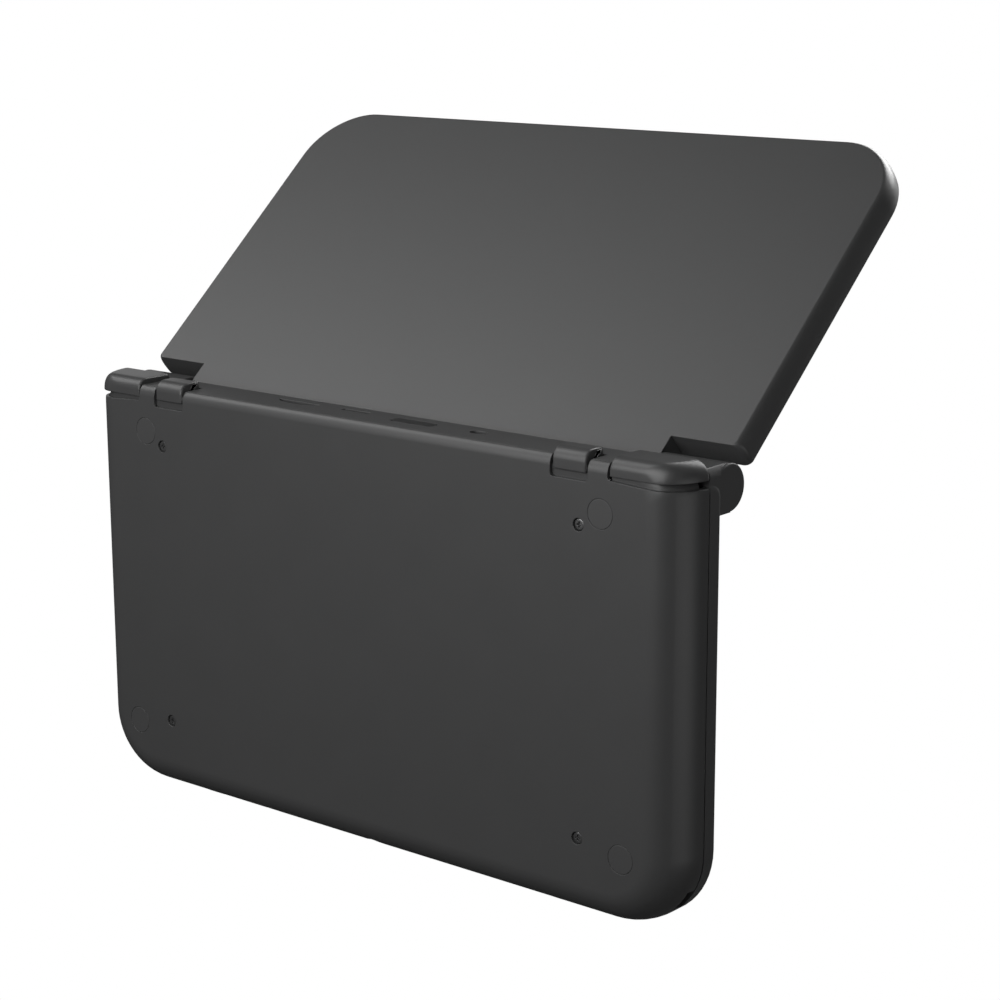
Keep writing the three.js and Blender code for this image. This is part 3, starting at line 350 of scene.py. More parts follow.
baseForm = {
    "width": 160, "depth": 93.5, "height": 13.55, "frontCorner": 16.4, "backCorner": 5,
    "edgeIn": 7.6, "edgeUp": 9.6, "backFillet": 2.75, "noseRadius": 3.0, "backIn": 0.95, "backCrease": 0.5,
    "deckEdge": 0.6, "wall": 1.4, "deckThickness": 1.2, "seam": 9.8, "backSeam": 1.2, "seamGap": 0.2,
    "seamSoft": 0.15, "backWallStart": 42.6, "cornerSteps": 14, "arcSteps": 14, "finestStep": 0.15,
    "thinTop": 9, "cutTop": 12,
}
halfWidth, halfDepth = baseForm["width"] / 2, baseForm["depth"] / 2
beyond = halfDepth + 2 * overrun  # where the cuts in the back wall end


def sideInset(z, grow):
    form = baseForm
    low = quarterDrop((form["edgeUp"] - z) / (form["edgeUp"] + grow)) * (form["edgeIn"] + grow)
    high = quarterDrop((z - form["height"] + form["deckEdge"]) / form["deckEdge"]) * form["deckEdge"]
    return low + high - grow


def backInset(z, grow):
    form = baseForm
    fillet, nose = form["backFillet"] + grow, form["noseRadius"] + grow
    low = quarterDrop((form["backFillet"] - z) / fillet) * fillet
    high = quarterDrop((z - form["height"] + form["noseRadius"]) / nose) * nose
    return form["backIn"] + max(low, form["backCrease"]) + high - grow


def baseRing(z, grow=0.0):
    form = baseForm
    side = sideInset(z, grow)
    right = halfWidth - side
    back = halfDepth - backInset(z, grow)
    front = form["frontCorner"] - side
    rear = form["backCorner"] + grow
    radii = (front, rear, rear, front)
    points = outline(-right, right, side - halfDepth, back, radii, form["cornerSteps"])
    return placed(points, "z", z)


def baseRings(bottom, top, grow=0.0):
    form = baseForm
    heights = []
    for angle in turns(form["arcSteps"]):
        rise = math.sin(angle)
        heights += [form["edgeUp"] - (form["edgeUp"] + grow) * rise,
                    form["backFillet"] - (form["backFillet"] + grow) * rise,
                    form["height"] - form["noseRadius"] + (form["noseRadius"] + grow) * rise,
                    form["height"] - form["deckEdge"] + form["deckEdge"] * rise]
    kept = [bottom]
    for z in sorted(heights):
        if kept[-1] + form["finestStep"] < z < top - form["finestStep"]:
            kept.append(z)
    return [baseRing(z, grow) for z in kept + [top]]


def thinBase(shrink, build):  # the part of a shrunk base that lies in the boxes of a build
    rings = baseRings(shrink, baseForm["thinTop"], -shrink)
    return carve(newPiece("thinBase", lambda mesh: addStack(mesh, rings)), build, "INTERSECT")


# Rear cover, with the cuts that the triggers, screws, feet and front openings need

innerTrigger = {
    "cutStart": 50.15, "cutEnd": 59.14, "cutFront": 41.1, "cutTop": 6.2, "cutCorner": 0.7, "gap": 0.5,
    "front": 42.6, "back": 46.9, "bottom": 0.1, "top": 5.7, "lowRound": 2.4, "highRound": 0.6,
    "frontRound": 0.3, "endRound": 0.5, "endSteps": 5,
    "blocks": {  # start and end along the edge, then front, back, bottom and top, and the corner radius
        "flange": (49.9, 59.39, (42.65, 43.45, 1.95, 6.95), 0.15),
        "ledge": (49.95, 59.34, (40.85, 43.4, 0.8, 2.6), 0.12),
        "stem": (51.1, 53.4, (39.65, 42.9, 4.65, 6.15), 0.15),
    },
}
shoulderTrigger = {
    "cutStart": 63.73, "cutFront": 42.0, "cutFall": 1.0, "cutRound": 0.8, "gap": 0.4, "front": 42.8,
    "back": 46.5, "proud": 0.3, "corner": 3.3, "bottom": 0.3, "lowRound": 2.4, "highRound": 0.8, "lip": 0.3,
    "top": 9.6,
    "endRound": 0.5, "endLean": 0.5, "endFlat": 0.2, "lowSteps": 10, "highSteps": 7,
    "pivotX": 61.6, "pivotY": 40.9, "boreTop": 10, "boreRadius": 1.0, "earBottom": 3.5, "earTop": 7.5,
    "earRadius": 1.9, "armStart": 62.4, "armEnd": 66.5, "arm": (41.2, 43.4, 3.6, 7.4), "armSoft": 0.2,
    "skirtShrink": 0.85, "skirtInset": 0.05, "skirtFront": 40.95, "skirtBack": 43.25, "skirtTop": 8.0,
}
coverRelief = {  # thins the cover behind the triggers, where their skirts move
    "shrink": 0.62, "front": 39.4, "top": 8.2, "innerOver": 0.3, "shoulderOver": 0.1,
}
screw = {
    "front": (57, -29.7), "back": (57, 32.6), "holeRadius": 1.3, "holeDepth": 1.8, "face": 0.3,
    "headRadius": 1.2, "headHeight": 1.3, "shaftRadius": 0.8, "shaftOver": 0.1, "tip": 0.3, "end": 10.9,
    "crossWidth": 0.34, "crossReach": 0.7, "crossDepth": 0.5, "crossTaper": 0.7, "crown": 0.3,
    "bossRadius": 2.8, "bossTop": 5,
}
foot = {
    "front": (67.5, -31.55), "back": (62.1, 35.4), "radius": 2.9, "thickness": 0.75, "gap": 0.05, "edge": 0.04,
}
frontOpenings = {
    "reach": -43, "card": (-48.5, -15.5, 4.05, 8.35), "cardCorner": 0.5,
    "jackX": 0, "jackZ": 5.6, "jackRadius": 2.6, "stylusX": 30, "stylusZ": 5.8, "stylusRadius": 2.5,
    "stylusReach": -42, "powerX": 50, "rowZ": 7.2, "powerHalf": 3.3, "powerRise": 1.4,
    "lights": (59.5, 62.5), "lightRadius": 0.9,
}
strap = {
    "degrees": 37, "halfWidth": 2.5, "depth": 3.0, "bottom": 7.6, "wall": 1.4, "sideWall": 1.2, "fillGap": 0.9,
}


def cornerPlaces(size):  # where the four screws or feet are
    return {end + "_" + sideNames[side]: (side * size[end][0], size[end][1])
            for end in ("front", "back") for side in sides}


def strapRecess(mesh, start, end, half, bottom, top):  # start and end count outwards from the corner's centre
    angle = math.radians(strap["degrees"])
    outward = Vector((-math.cos(angle), -math.sin(angle)))
    acrossWay = Vector((math.sin(angle), -math.cos(angle)))
    corner = baseForm["frontCorner"]
    centre = Vector((corner - halfWidth, corner - halfDepth))
    corners = ((start, -half), (end, -half), (end, half), (start, half))
    addPrism(mesh, [centre + outward * a + acrossWay * b for a, b in corners], "z", bottom, top)


def shoulderCut(mesh, side):
    size = shoulderTrigger
    far = halfWidth + 2 * overrun
    start, bend, front = size["cutStart"], size["cutRound"], size["cutFront"]
    points = arc(start + bend, front + bend, bend, 2, 3, steps=6)
    points += [(far, front - size["cutFall"]), (far, beyond), (start, beyond)]
    addPrism(mesh, [(side * x, y) for x, y in points], "z", -overrun, size["top"] + size["gap"])


def triggerCuts(mesh):
    inner = innerTrigger
    radii = (inner["cutCorner"], sliver, sliver, inner["cutCorner"])
    for side in sides:
        edges = (*span(side, inner["cutStart"], inner["cutEnd"]), inner["cutFront"], beyond)
        softBlock(mesh, "z", -overrun, inner["cutTop"], edges, radii)
        shoulderCut(mesh, side)


def makeRearCover():
    form, holes, corner = baseForm, frontOpenings, baseForm["frontCorner"]
    outer = baseRings(0, form["seam"] - form["seamSoft"]) + [baseRing(form["seam"], -form["seamSoft"])]
    inner = baseRings(form["wall"], form["seam"], -form["wall"])[::-1]

    def fill(mesh):  # blocks behind the strap recess and round the screw holes
        strapRecess(mesh, corner - strap["depth"] - strap["wall"], corner - strap["fillGap"],
                    strap["halfWidth"] + strap["sideWall"], strap["bottom"] - strap["wall"], form["seam"])
        for x, y in cornerPlaces(screw).values():
            addRod(mesh, "z", form["wall"] / 2, screw["bossTop"], x, y, screw["bossRadius"])

    def relief(mesh):
        wide, narrow = coverRelief["innerOver"], coverRelief["shoulderOver"]
        for side in sides:
            for first, last in ((innerTrigger["cutStart"] - wide, innerTrigger["cutEnd"] + wide),
                                (shoulderTrigger["cutStart"] - narrow, halfWidth)):
                addBox(mesh, *span(side, first, last), coverRelief["front"], halfDepth,
                       -overrun, coverRelief["top"])

    def cuts(mesh):
        addBox(mesh, -halfWidth, halfWidth, form["backWallStart"], beyond, form["backSeam"], form["cutTop"])
        start, end = -halfDepth - overrun, holes["reach"]
        softBlock(mesh, "y", start, end, holes["card"], [holes["cardCorner"]] * 4)
        addRod(mesh, "y", start, end, holes["jackX"], holes["jackZ"], holes["jackRadius"])
        addRod(mesh, "y", start, holes["stylusReach"], holes["stylusX"], holes["stylusZ"],
               holes["stylusRadius"])
        power = pill(holes["powerX"], holes["rowZ"], holes["powerHalf"], holes["powerRise"])
        softBlock(mesh, "y", start, end, *power)
        for x in holes["lights"]:
            addRod(mesh, "y", start, end, x, holes["rowZ"], holes["lightRadius"])
        for x, y in cornerPlaces(screw).values():
            addRod(mesh, "z", -overrun, screw["holeDepth"], x, y, screw["holeRadius"], steps=10)
        for x, y in cornerPlaces(foot).values():
            addRod(mesh, "z", -overrun, foot["thickness"] + foot["gap"], x, y, foot["radius"] + foot["gap"],
                   steps=12)
        strapRecess(mesh, corner - strap["depth"], corner + overrun, strap["halfWidth"], strap["bottom"],
                    form["cutTop"])

    cover = joined("rearCover", lambda mesh: addStack(mesh, outer + inner), fill)
    carve(cover, cuts)
    carve(cover, thinBase(coverRelief["shrink"], relief))
    carve(cover, triggerCuts)
    dress(cover, "shell", "base", "rear_cover")


# Top shell of the base: deck, back wall, nose and hinge knuckles

hinge = {
    "y": 40.0, "z": 16.8, "knuckleRadius": 4.7, "knuckleStart": 64.3, "knuckleEnd": 79.87, "knuckleSoft": 0.45,
    "knuckleEdge": 0.12, "barrelRadius": 3.65, "barrelEnd": 64.0, "barrelEdge": 0.15, "troughRadius": 4.15,
    "pinRadius": 2.2, "pinGap": 0.1, "pinStart": 52.3, "pinEnd": 78.6, "roundSteps": 14,
}
backOpenings = {
    "crescentX": 22.9, "crescentHalf": 5.8, "crescentTop": 8.2, "crescentBottom": 5.9, "crescentSteps": 24,
    "ovals": {  # middle in x and z, half length and half height
        "slot": (6.9, 8.0, 3.9, 0.7), "window": (-10.1, 6.7, 5.8, 1.7), "mouth": (-26.7, 7.0, 1.95, 1.2),
    },
    "reach": 42,
}
deck = {
    "touchHalfX": 43.7, "touchHalfY": 33.1, "touchY": 2, "touchCorner": 0.8,
    "padX": -61.5, "padY": 14, "wellRadius": 11.5, "wellFloor": 12.5, "wellOpening": 7,
    "crossX": -61.5, "crossY": -14, "crossHalf": 10.4, "crossArm": 3.7,
    "clusterX": 61.5, "clusterY": 8, "clusterSpread": 7.2, "faceHole": 4.1,
    "smallX": 60, "startY": -13, "selectY": -20.5, "smallHole": 2.6,
    "homeY": -39, "homeHalfX": 7.3, "homeHalfY": 2.5, "nubX": 52.5, "nubY": 25.5, "nubHole": 2.75,
    "microphoneX": 20, "microphoneRadius": 0.5,
}
facePlaces = {name: (deck["clusterX"] + a * deck["clusterSpread"], deck["clusterY"] + b * deck["clusterSpread"])
              for name, a, b in (("back", 0, 1), ("front", 0, -1), ("left", -1, 0), ("right", 1, 0))}


def crossPoints(x, y, half, arm):
    quarter = [(half, -arm), (half, arm), (arm, arm), (arm, half), (-arm, half), (-arm, arm)]
    return [(x + a, y + b) for a, b in quarter + [(-a, -b) for a, b in quarter]]


def makeKnuckles():
    form, radius = baseForm, hinge["knuckleRadius"]
    start = form["seam"] + form["seamGap"]

    def towers(mesh):
        for x0, x1 in spans(hinge["knuckleStart"], hinge["knuckleEnd"]):
            addBox(mesh, x0, x1, hinge["y"] - radius, hinge["y"] + radius, start, hinge["z"])

    def plan(mesh):
        radii = (form["frontCorner"], form["backCorner"], form["backCorner"], form["frontCorner"])
        points = outline(*around(0, 0, halfWidth, halfDepth), radii, form["cornerSteps"])
        addPrism(mesh, points, "z", start - overrun, hinge["z"] + overrun)

    def bars(mesh):
        for side in sides:
            x0, x1 = span(side, hinge["knuckleStart"], hinge["knuckleEnd"])
            rounds = (hinge["knuckleEdge"], hinge["knuckleSoft"])[::side]
            addRod(mesh, "x", x0, x1, hinge["y"], hinge["z"], radius, *rounds, steps=hinge["roundSteps"])

    knuckles = newPiece("knuckles", towers)
    carve(knuckles, plan, "INTERSECT")
    return carve(knuckles, bars, "UNION")


def makeTopShell():
    form, ports, hole = baseForm, backOpenings, deck
    low = form["backSeam"] + form["seamGap"]
    deckBottom = form["height"] - form["deckThickness"]
    cutLow, cutHigh = deckBottom - overrun, form["height"] + overrun
    inner = baseRings(low, deckBottom, -form["wall"])[::-1]
    outer = baseRings(low, form["height"])

    def trimming(mesh):  # what lies below the seam, apart from the back wall
        far = halfWidth + overrun
        addBox(mesh, -far, far, -halfDepth - overrun, form["backWallStart"] + form["seamGap"],
               0, form["seam"] + form["seamGap"])

    def trough(mesh):
        reach = hinge["knuckleStart"]
        addRod(mesh, "x", -reach, reach, hinge["y"], hinge["z"], hinge["troughRadius"],
               steps=hinge["roundSteps"])

    def backCuts(mesh):
        for x0, x1 in spans(innerTrigger["cutStart"], innerTrigger["cutEnd"]):
            addBox(mesh, x0, x1, innerTrigger["cutFront"], beyond, 0, innerTrigger["cutTop"])
        for x, z, half, rise in ports["ovals"].values():
            softBlock(mesh, "y", ports["reach"], beyond, *pill(x, z, half, rise))
        drop = ports["crescentTop"] - ports["crescentBottom"]
        points = [(ports["crescentX"] + a * ports["crescentHalf"], ports["crescentTop"] + b * drop)
                  for a, b in arc(0, 0, 1, 2, 4, ports["crescentSteps"])]
        addPrism(mesh, points, "y", ports["reach"], beyond)

    def deckCuts(mesh):
        touch = around(0, hole["touchY"], hole["touchHalfX"], hole["touchHalfY"])
        softBlock(mesh, "z", cutLow, cutHigh, touch, [hole["touchCorner"]] * 4)
        addPrism(mesh, crossPoints(hole["crossX"], hole["crossY"], hole["crossHalf"], hole["crossArm"]),
                 "z", cutLow, cutHigh)
        rods = [(x, y, hole["faceHole"]) for x, y in facePlaces.values()]
        rods += [(hole["smallX"], y, hole["smallHole"]) for y in (hole["startY"], hole["selectY"])]
        for x, y, radius in rods + [(hole["nubX"], hole["nubY"], hole["nubHole"])]:
            addRod(mesh, "z", cutLow, cutHigh, x, y, radius, steps=12)
        softBlock(mesh, "z", cutLow, cutHigh, *pill(0, hole["homeY"], hole["homeHalfX"], hole["homeHalfY"]))
        addRod(mesh, "z", cutLow, cutHigh, hole["microphoneX"], hole["homeY"], hole["microphoneRadius"])
        addRod(mesh, "z", hole["wellFloor"], cutHigh, hole["padX"], hole["padY"], hole["wellRadius"], steps=16)

    def lateCuts(mesh):
        addRod(mesh, "z", cutLow, cutHigh, hole["padX"], hole["padY"], hole["wellOpening"], steps=12)
        for x0, x1 in spans(hinge["knuckleStart"] - overrun, hinge["pinEnd"]):
            addRod(mesh, "x", x0, x1, hinge["y"], hinge["z"], hinge["pinRadius"])

    shell = newPiece("topShell", lambda mesh: addStack(mesh, inner + outer))
    carve(shell, trimming)
    for side in sides:
        carve(shell, lambda mesh: shoulderCut(mesh, side))
    carve(shell, trough)
    carve(shell, makeKnuckles(), "UNION")
    for build in (backCuts, deckCuts, lateCuts):
        carve(shell, build)
    dress(shell, "shell", "base", "base_top_shell")


# Triggers

def shrunk(points, inset):  # a convex outline moved inwards by that much
    leastLean = 0.3
    moved = []
    for index, (a, b) in enumerate(points):
        before, after = points[index - 1], points[(index + 1) % len(points)]
        first = Vector((a - before[0], b - before[1])).normalized()
        second = Vector((after[0] - a, after[1] - b)).normalized()
        lean = Vector((-first.y - second.y, first.x + second.x)).normalized()
        reach = inset / max(lean.dot(Vector((-first.y, first.x))), leastLean)
        moved.append((a + lean.x * reach, b + lean.y * reach))
    return moved


def makeInnerTrigger(side):
    size = innerTrigger
    x0, x1 = span(side, size["cutStart"] + size["gap"], size["cutEnd"] - size["gap"])
    body = "inner_trigger_" + sideNames[side]

    def cap(mesh):
        low, high, soft = size["lowRound"], size["highRound"], size["frontRound"]
        front, back, bottom, top = size["front"], size["back"], size["bottom"], size["top"]
        profile = arc(back - low, bottom + low, low, -1, 0, steps=12)
        profile += arc(back - high, top - high, high, 0, 1, steps=6)
        profile += [(front, top)] + arc(front + soft, bottom + soft, soft, -2, -1, steps=4)
        rings = []
        for step in range(size["endSteps"] + 1):  # from full size to the rounded end
            share = step / size["endSteps"]
            points = shrunk(profile, size["endRound"] * quarterDrop(share))
            along = size["endRound"] * (1 - share)
            rings = [placed(points, "x", x0 + along)] + rings + [placed(points, "x", x1 - along)]
        addStack(mesh, rings)

    piece = newPiece("innerTrigger" + sideNames[side].capitalize(), cap)
    for first, last, edges, soft in size["blocks"].values():
        carve(piece, lambda mesh: softBlock(mesh, "x", *span(side, first, last), edges, [soft] * 4), "UNION")
    dress(piece, "trigger_plastic", body)


def capRing(side, lowInset, topInset, z):  # back edge and corner, then the same points straight in front
    size = shoulderTrigger
    first = size["cutStart"] + size["gap"] + topInset * size["endLean"]
    back = size["back"] - lowInset - topInset
    centreX = halfWidth + size["proud"] - sideInset(z, 0) - topInset - size["corner"]
    centreY = back - size["corner"]
    turn = math.acos((size["front"] + size["lip"] - centreY) / size["corner"]) / quarterTurn
    soft = min(size["endRound"], back - size["front"] - size["endFlat"])
    edge = arc(first + soft, back - soft, soft, 2, 1, steps=6)
    edge += arc(centreX, centreY, size["corner"], 1, 1 - turn, steps=12)
    front = [(x, size["front"]) for x, y in reversed(edge)]
    return [(side * x, y, z) for x, y in edge + front]


def makeShoulderTrigger(side):
    size = shoulderTrigger
    x, y = side * size["pivotX"], size["pivotY"]
    body = "shoulder_trigger_" + sideNames[side]

    def cap(mesh):
        lowRound, highRound, steps = size["lowRound"], size["highRound"], size["lowSteps"]
        low, high = size["bottom"] + lowRound, size["top"] - highRound
        rings = [capRing(side, lowRound * (1 - math.sin(angle)), 0, low - lowRound * math.cos(angle))
                 for angle in turns(steps)]
        rings += [capRing(side, 0, 0, low + step / steps * (high - low)) for step in range(1, steps)]
        rings += [capRing(side, 0, highRound * (1 - math.cos(angle)), high + highRound * math.sin(angle))
                  for angle in turns(size["highSteps"])]
        addStack(mesh, rings, strips=True)

    def skirt(mesh):
        start = size["cutStart"] + size["gap"] + size["skirtInset"]
        addBox(mesh, *span(side, start, halfWidth), size["skirtFront"], size["skirtBack"],
               0, size["skirtTop"])

    def ear(mesh):
        addRod(mesh, "z", size["earBottom"], size["earTop"], x, y, size["earRadius"])

    def arm(mesh):
        softBlock(mesh, "x", *span(side, size["armStart"], size["armEnd"]), size["arm"], [size["armSoft"]] * 4)

    name = "shoulderTrigger" + sideNames[side].capitalize()
    piece = joined(name, cap, thinBase(size["skirtShrink"], skirt), ear, arm)
    carve(piece, lambda mesh: addRod(mesh, "z", 0, size["boreTop"], x, y, size["boreRadius"]))
    dress(piece, "trigger_plastic", body)


# Screws and feet

def makeScrew(corner, x, y):
    size = screw
    neck = size["face"] + size["headHeight"]

    def body(mesh):
        addRod(mesh, "z", size["face"], neck, x, y, size["headRadius"], size["crown"])
        addRod(mesh, "z", neck - size["shaftOver"], size["end"], x, y, size["shaftRadius"], 0, size["tip"])

    def recess(mesh):
        half, reach, taper = size["crossWidth"] / 2, size["crossReach"], size["crossTaper"]
        addStack(mesh, [placed(crossPoints(x, y, reach, half), "z", 0),
                        placed(crossPoints(x, y, reach * taper, half * taper), "z",
                               size["face"] + size["crossDepth"])])

    piece = newPiece("coverScrew_" + corner, body)
    carve(piece, recess)
    dress(piece, "screw_steel", "base", "cover_screw_" + corner)


def makeFoot(corner, x, y):
    piece = newPiece("foot_" + corner, lambda mesh: addRod(
        mesh, "z", 0, foot["thickness"], x, y, foot["radius"], foot["edge"], foot["edge"], steps=12))
    dress(piece, "rubber_parts", "base", "foot_" + corner)


# Controls of the deck

keys = {
    "top": 14.75, "foot": 11, "lip": 0.8, "lipTop": 12.05, "lipSoft": 0.1, "capFoot": 11.2, "soft": 0.55,
    "faceRadius": 3.8, "smallRadius": 2.3, "smallTop": 14.2, "homeHalfX": 7, "homeHalfY": 2.2, "homeSoft": 0.4,
}
nub = {"radius": 2.6, "top": 14.1, "foot": 10.05, "soft": 1.3}
slidePad = {
    "radius": 8, "bottom": 12.9, "top": 15, "stem": 3.2, "stemBottom": 10.8, "edge": 0.3, "soft": 0.7,
    "dish": 0.55, "dishShare": 1.6, "dishSteps": 8, "middle": 0.3, "softSteps": 6, "roundSteps": 56,
}
crossPad = {
    "top": 14.55, "bottom": 12, "half": 10, "arm": 3.3, "corner": 0.7, "lowSoft": 0.2, "soft": 0.5,
    "under": ((11.75, 5.5), (12.2, 3)), "underBottom": 11.2,  # top and radius of each step of the underside
    "dishRadius": 14.0, "dishDepth": 0.4, "dishStart": 0.02, "dishTurn": 0.24, "dishSteps": 6, "roundSteps": 40,
    "grooveReach": 7.4, "grooveHalf": 0.9, "grooveNarrow": 0.3, "grooveDepth": 0.18, "grooveCorner": 0.28,
}
touchGlass = {"corner": 0.7, "soft": 0.12}


def makeRoundKey(name, body, x, y, radius, top):
    def lip(mesh):
        addRod(mesh, "z", keys["foot"], keys["lipTop"], x, y, radius + keys["lip"], 0, keys["lipSoft"])

    def cap(mesh):
        addRod(mesh, "z", keys["capFoot"], top, x, y, radius, 0, keys["soft"], steps=10)

    dress(joined(name, lip, cap), "key_plastic", body)


def makeHomeKey():
    def plate(extra, bottom, top, soft):
        edges, radii = pill(0, deck["homeY"], keys["homeHalfX"] + extra, keys["homeHalfY"] + extra)
        return lambda mesh: softBlock(mesh, "z", bottom, top, edges, radii, 0, soft, steps=10)

    piece = joined("homeKey", plate(keys["lip"], keys["foot"], keys["lipTop"], keys["lipSoft"]),
                   plate(0, keys["capFoot"], keys["smallTop"], keys["homeSoft"]))
    dress(piece, "key_plastic", "home_button")


def makeCrossPad():
    size = crossPad
    x, y, top = deck["crossX"], deck["crossY"], size["top"]

    def bar(halfX, halfY):
        return lambda mesh: softBlock(mesh, "z", size["bottom"], top, around(x, y, halfX, halfY),
                                      [size["corner"]] * 4, size["lowSoft"], size["soft"])

    def underside(mesh):
        for high, radius in size["under"]:
            addRod(mesh, "z", size["underBottom"], high, x, y, radius)

    def hollows(mesh):  # the thumb dish, and a shallow groove on each arm
        radius, rings = size["dishRadius"], []
        for step in range(size["dishSteps"] + 1):
            angle = size["dishStart"] + step / size["dishSteps"] * size["dishTurn"]
            points = circle(x, y, radius * math.sin(angle), size["roundSteps"])
            rings.append(placed(points, "z", top - size["dishDepth"] + radius - radius * math.cos(angle)))
        addStack(mesh, rings)
        for a, b in ((1, 0), (-1, 0), (0, 1), (0, -1)):
            halves = (size["grooveHalf"], size["grooveNarrow"])[::1 if a else -1]
            edges = around(x + size["grooveReach"] * a, y + size["grooveReach"] * b, *halves)
            softBlock(mesh, "z", top - size["grooveDepth"], top + overrun, edges, [size["grooveCorner"]] * 4)

    piece = joined("crossPad", bar(size["half"], size["arm"]), bar(size["arm"], size["half"]), underside)
    carve(piece, hollows)
    dress(piece, "key_plastic", "cross_pad")


def makeSlidePad():
    size = slidePad
    radius, bottom, top, edge, soft = (size[key] for key in ("radius", "bottom", "top", "edge", "soft"))
    profile = [(size["stem"], size["stemBottom"]), (size["stem"], bottom), (radius - edge, bottom),
               (radius, bottom + edge)]
    profile += [(radius - soft + soft * math.cos(angle), top - soft + soft * math.sin(angle))
                for angle in turns(size["softSteps"])]
    for step in range(1, size["dishSteps"] + 1):  # the rim runs down into the dish
        share = step / size["dishSteps"]
        fall = (1 - math.cos(min(share * size["dishShare"], 1) * 2 * quarterTurn)) / 2
        profile.append(((radius - soft) * (1 - share) + size["middle"] * share, top - size["dish"] * fall))
    rings = [placed(circle(deck["padX"], deck["padY"], reach, size["roundSteps"]), "z", z)
             for reach, z in profile]
    dress(newPiece("slidePad", lambda mesh: addStack(mesh, rings)), "rubber_parts", "slide_pad")


def makeNub():
    piece = newPiece("nub", lambda mesh: addRod(
        mesh, "z", nub["foot"], nub["top"], deck["nubX"], deck["nubY"], nub["radius"], 0, nub["soft"], 10))
    dress(piece, "rubber_parts", "base", "nub")


def makeTouchGlass():
    low, high = [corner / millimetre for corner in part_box("touch_screen_glass")]
    piece = newPiece("touchGlass", lambda mesh: softBlock(
        mesh, "z", low.z, high.z, (low.x, high.x, low.y, high.y), [touchGlass["corner"]] * 4, 0,
        touchGlass["soft"]))
    dress(piece, "screen_glass", "base", "touch_screen_glass")


# The lid, drawn closed about the hinge and then turned open: y is minus the distance from the hinge

lid = {
    "openDegrees": 131.2, "notch": 7.06, "reach": 86.75, "farCorner": 15.4, "nearCorner": 1.2,
    "cornerSteps": 16, "rim": 2.4, "top": 3.65, "edgeIn": 1.6, "edgeDown": 4.0, "rimRound": 0.9,
    "wall": 1.6, "skin": 1.5, "ledge": 1.0, "tabDrop": 1.6, "rimSteps": 6, "edgeSteps": 14,
}
bezel = {
    "gap": 0.2, "drop": 1.4, "back": -0.2, "cutLow": -4, "cutHigh": 2, "windowHalfX": 56, "windowHalfY": 33.5,
    "windowCentre": 46.4, "windowCorner": 0.5, "cameraReach": 82.4, "cameraHole": 1.55, "speakerX": 68,
    "speakerReach": 50, "speakerHole": 0.5, "speakerPitch": 2.4, "glassInset": 0.2, "glassStep": 0.1,
    "glassCorner": 0.4, "glassSoft": 0.12,
}
slider = {
    "x": 74, "reach": 30, "halfX": 0.8, "halfY": 2.5, "travel": 3, "gap": 0.3, "front": -1.9, "back": 1.0,
    "corner": 0.5, "soft": 0.25, "baseGrow": 0.9, "baseFront": 0.1, "baseCorner": 0.3,
}
bumper = {"x": 60, "reach": 82, "radius": 2.0, "drop": 2.9, "back": -1.2, "gap": 0.2, "soft": 0.4}


def opened(piece):  # turns a piece drawn closed into the lid's place at rest
    piece.data.transform(Euler((-math.radians(lid["openDegrees"]), 0, 0)).to_matrix().to_4x4())
    for vertex in piece.data.vertices:
        vertex.co.y += hinge["y"] * millimetre
        vertex.co.z += hinge["z"] * millimetre
    piece.data.update()
    return piece


def lidPoints(inset, near=0.0):
    right = halfWidth - inset
    far, corner = lid["farCorner"] - inset, lid["nearCorner"]
    return outline(-right, right, inset - lid["reach"], -lid["notch"] - near, (far, corner, corner, far),
                   lid["cornerSteps"])


def lidInset(z):
    high = quarterDrop((z - lid["top"] + lid["edgeDown"]) / lid["edgeDown"]) * lid["edgeIn"]
    low = quarterDrop((lid["rimRound"] - lid["rim"] - z) / lid["rimRound"]) * lid["rimRound"]
    return high + low


def lidPlate(mesh, inset, bottom, top):
    addPrism(mesh, lidPoints(inset, inset), "z", bottom, top)


def makeLidCover():
    end = hinge["barrelEnd"]

    def body(mesh):
        low, high = lid["rimRound"] - lid["rim"], lid["top"] - lid["edgeDown"]
        heights = [low - lid["rimRound"] * math.sin(angle) for angle in reversed(turns(lid["rimSteps"])[1:])]
        heights += [high + lid["edgeDown"] * math.sin(angle) for angle in turns(lid["edgeSteps"])]
        addStack(mesh, [placed(lidPoints(lidInset(z)), "z", z) for z in heights])

    def tab(mesh):
        addBox(mesh, -end, end, -lid["notch"] - lid["wall"] / 2, 0, -lid["tabDrop"], lid["top"])

    def barrel(mesh):
        edge = hinge["barrelEdge"]
        addRod(mesh, "x", -end, end, 0, 0, hinge["barrelRadius"], edge, edge, steps=hinge["roundSteps"])

    def hollows(mesh):
        lidPlate(mesh, lid["wall"], -lid["rim"] - overrun, 0)
        lidPlate(mesh, lid["wall"] + lid["ledge"], -overrun, lid["top"] - lid["skin"])
        for x0, x1 in spans(hinge["pinStart"], end + overrun):
            addRod(mesh, "x", x0, x1, 0, 0, hinge["pinRadius"] + hinge["pinGap"])

    piece = joined("lidCover", body, tab, barrel)
    carve(piece, hollows)
    dress(opened(piece), "lid_shell", "lid", "lid_cover")


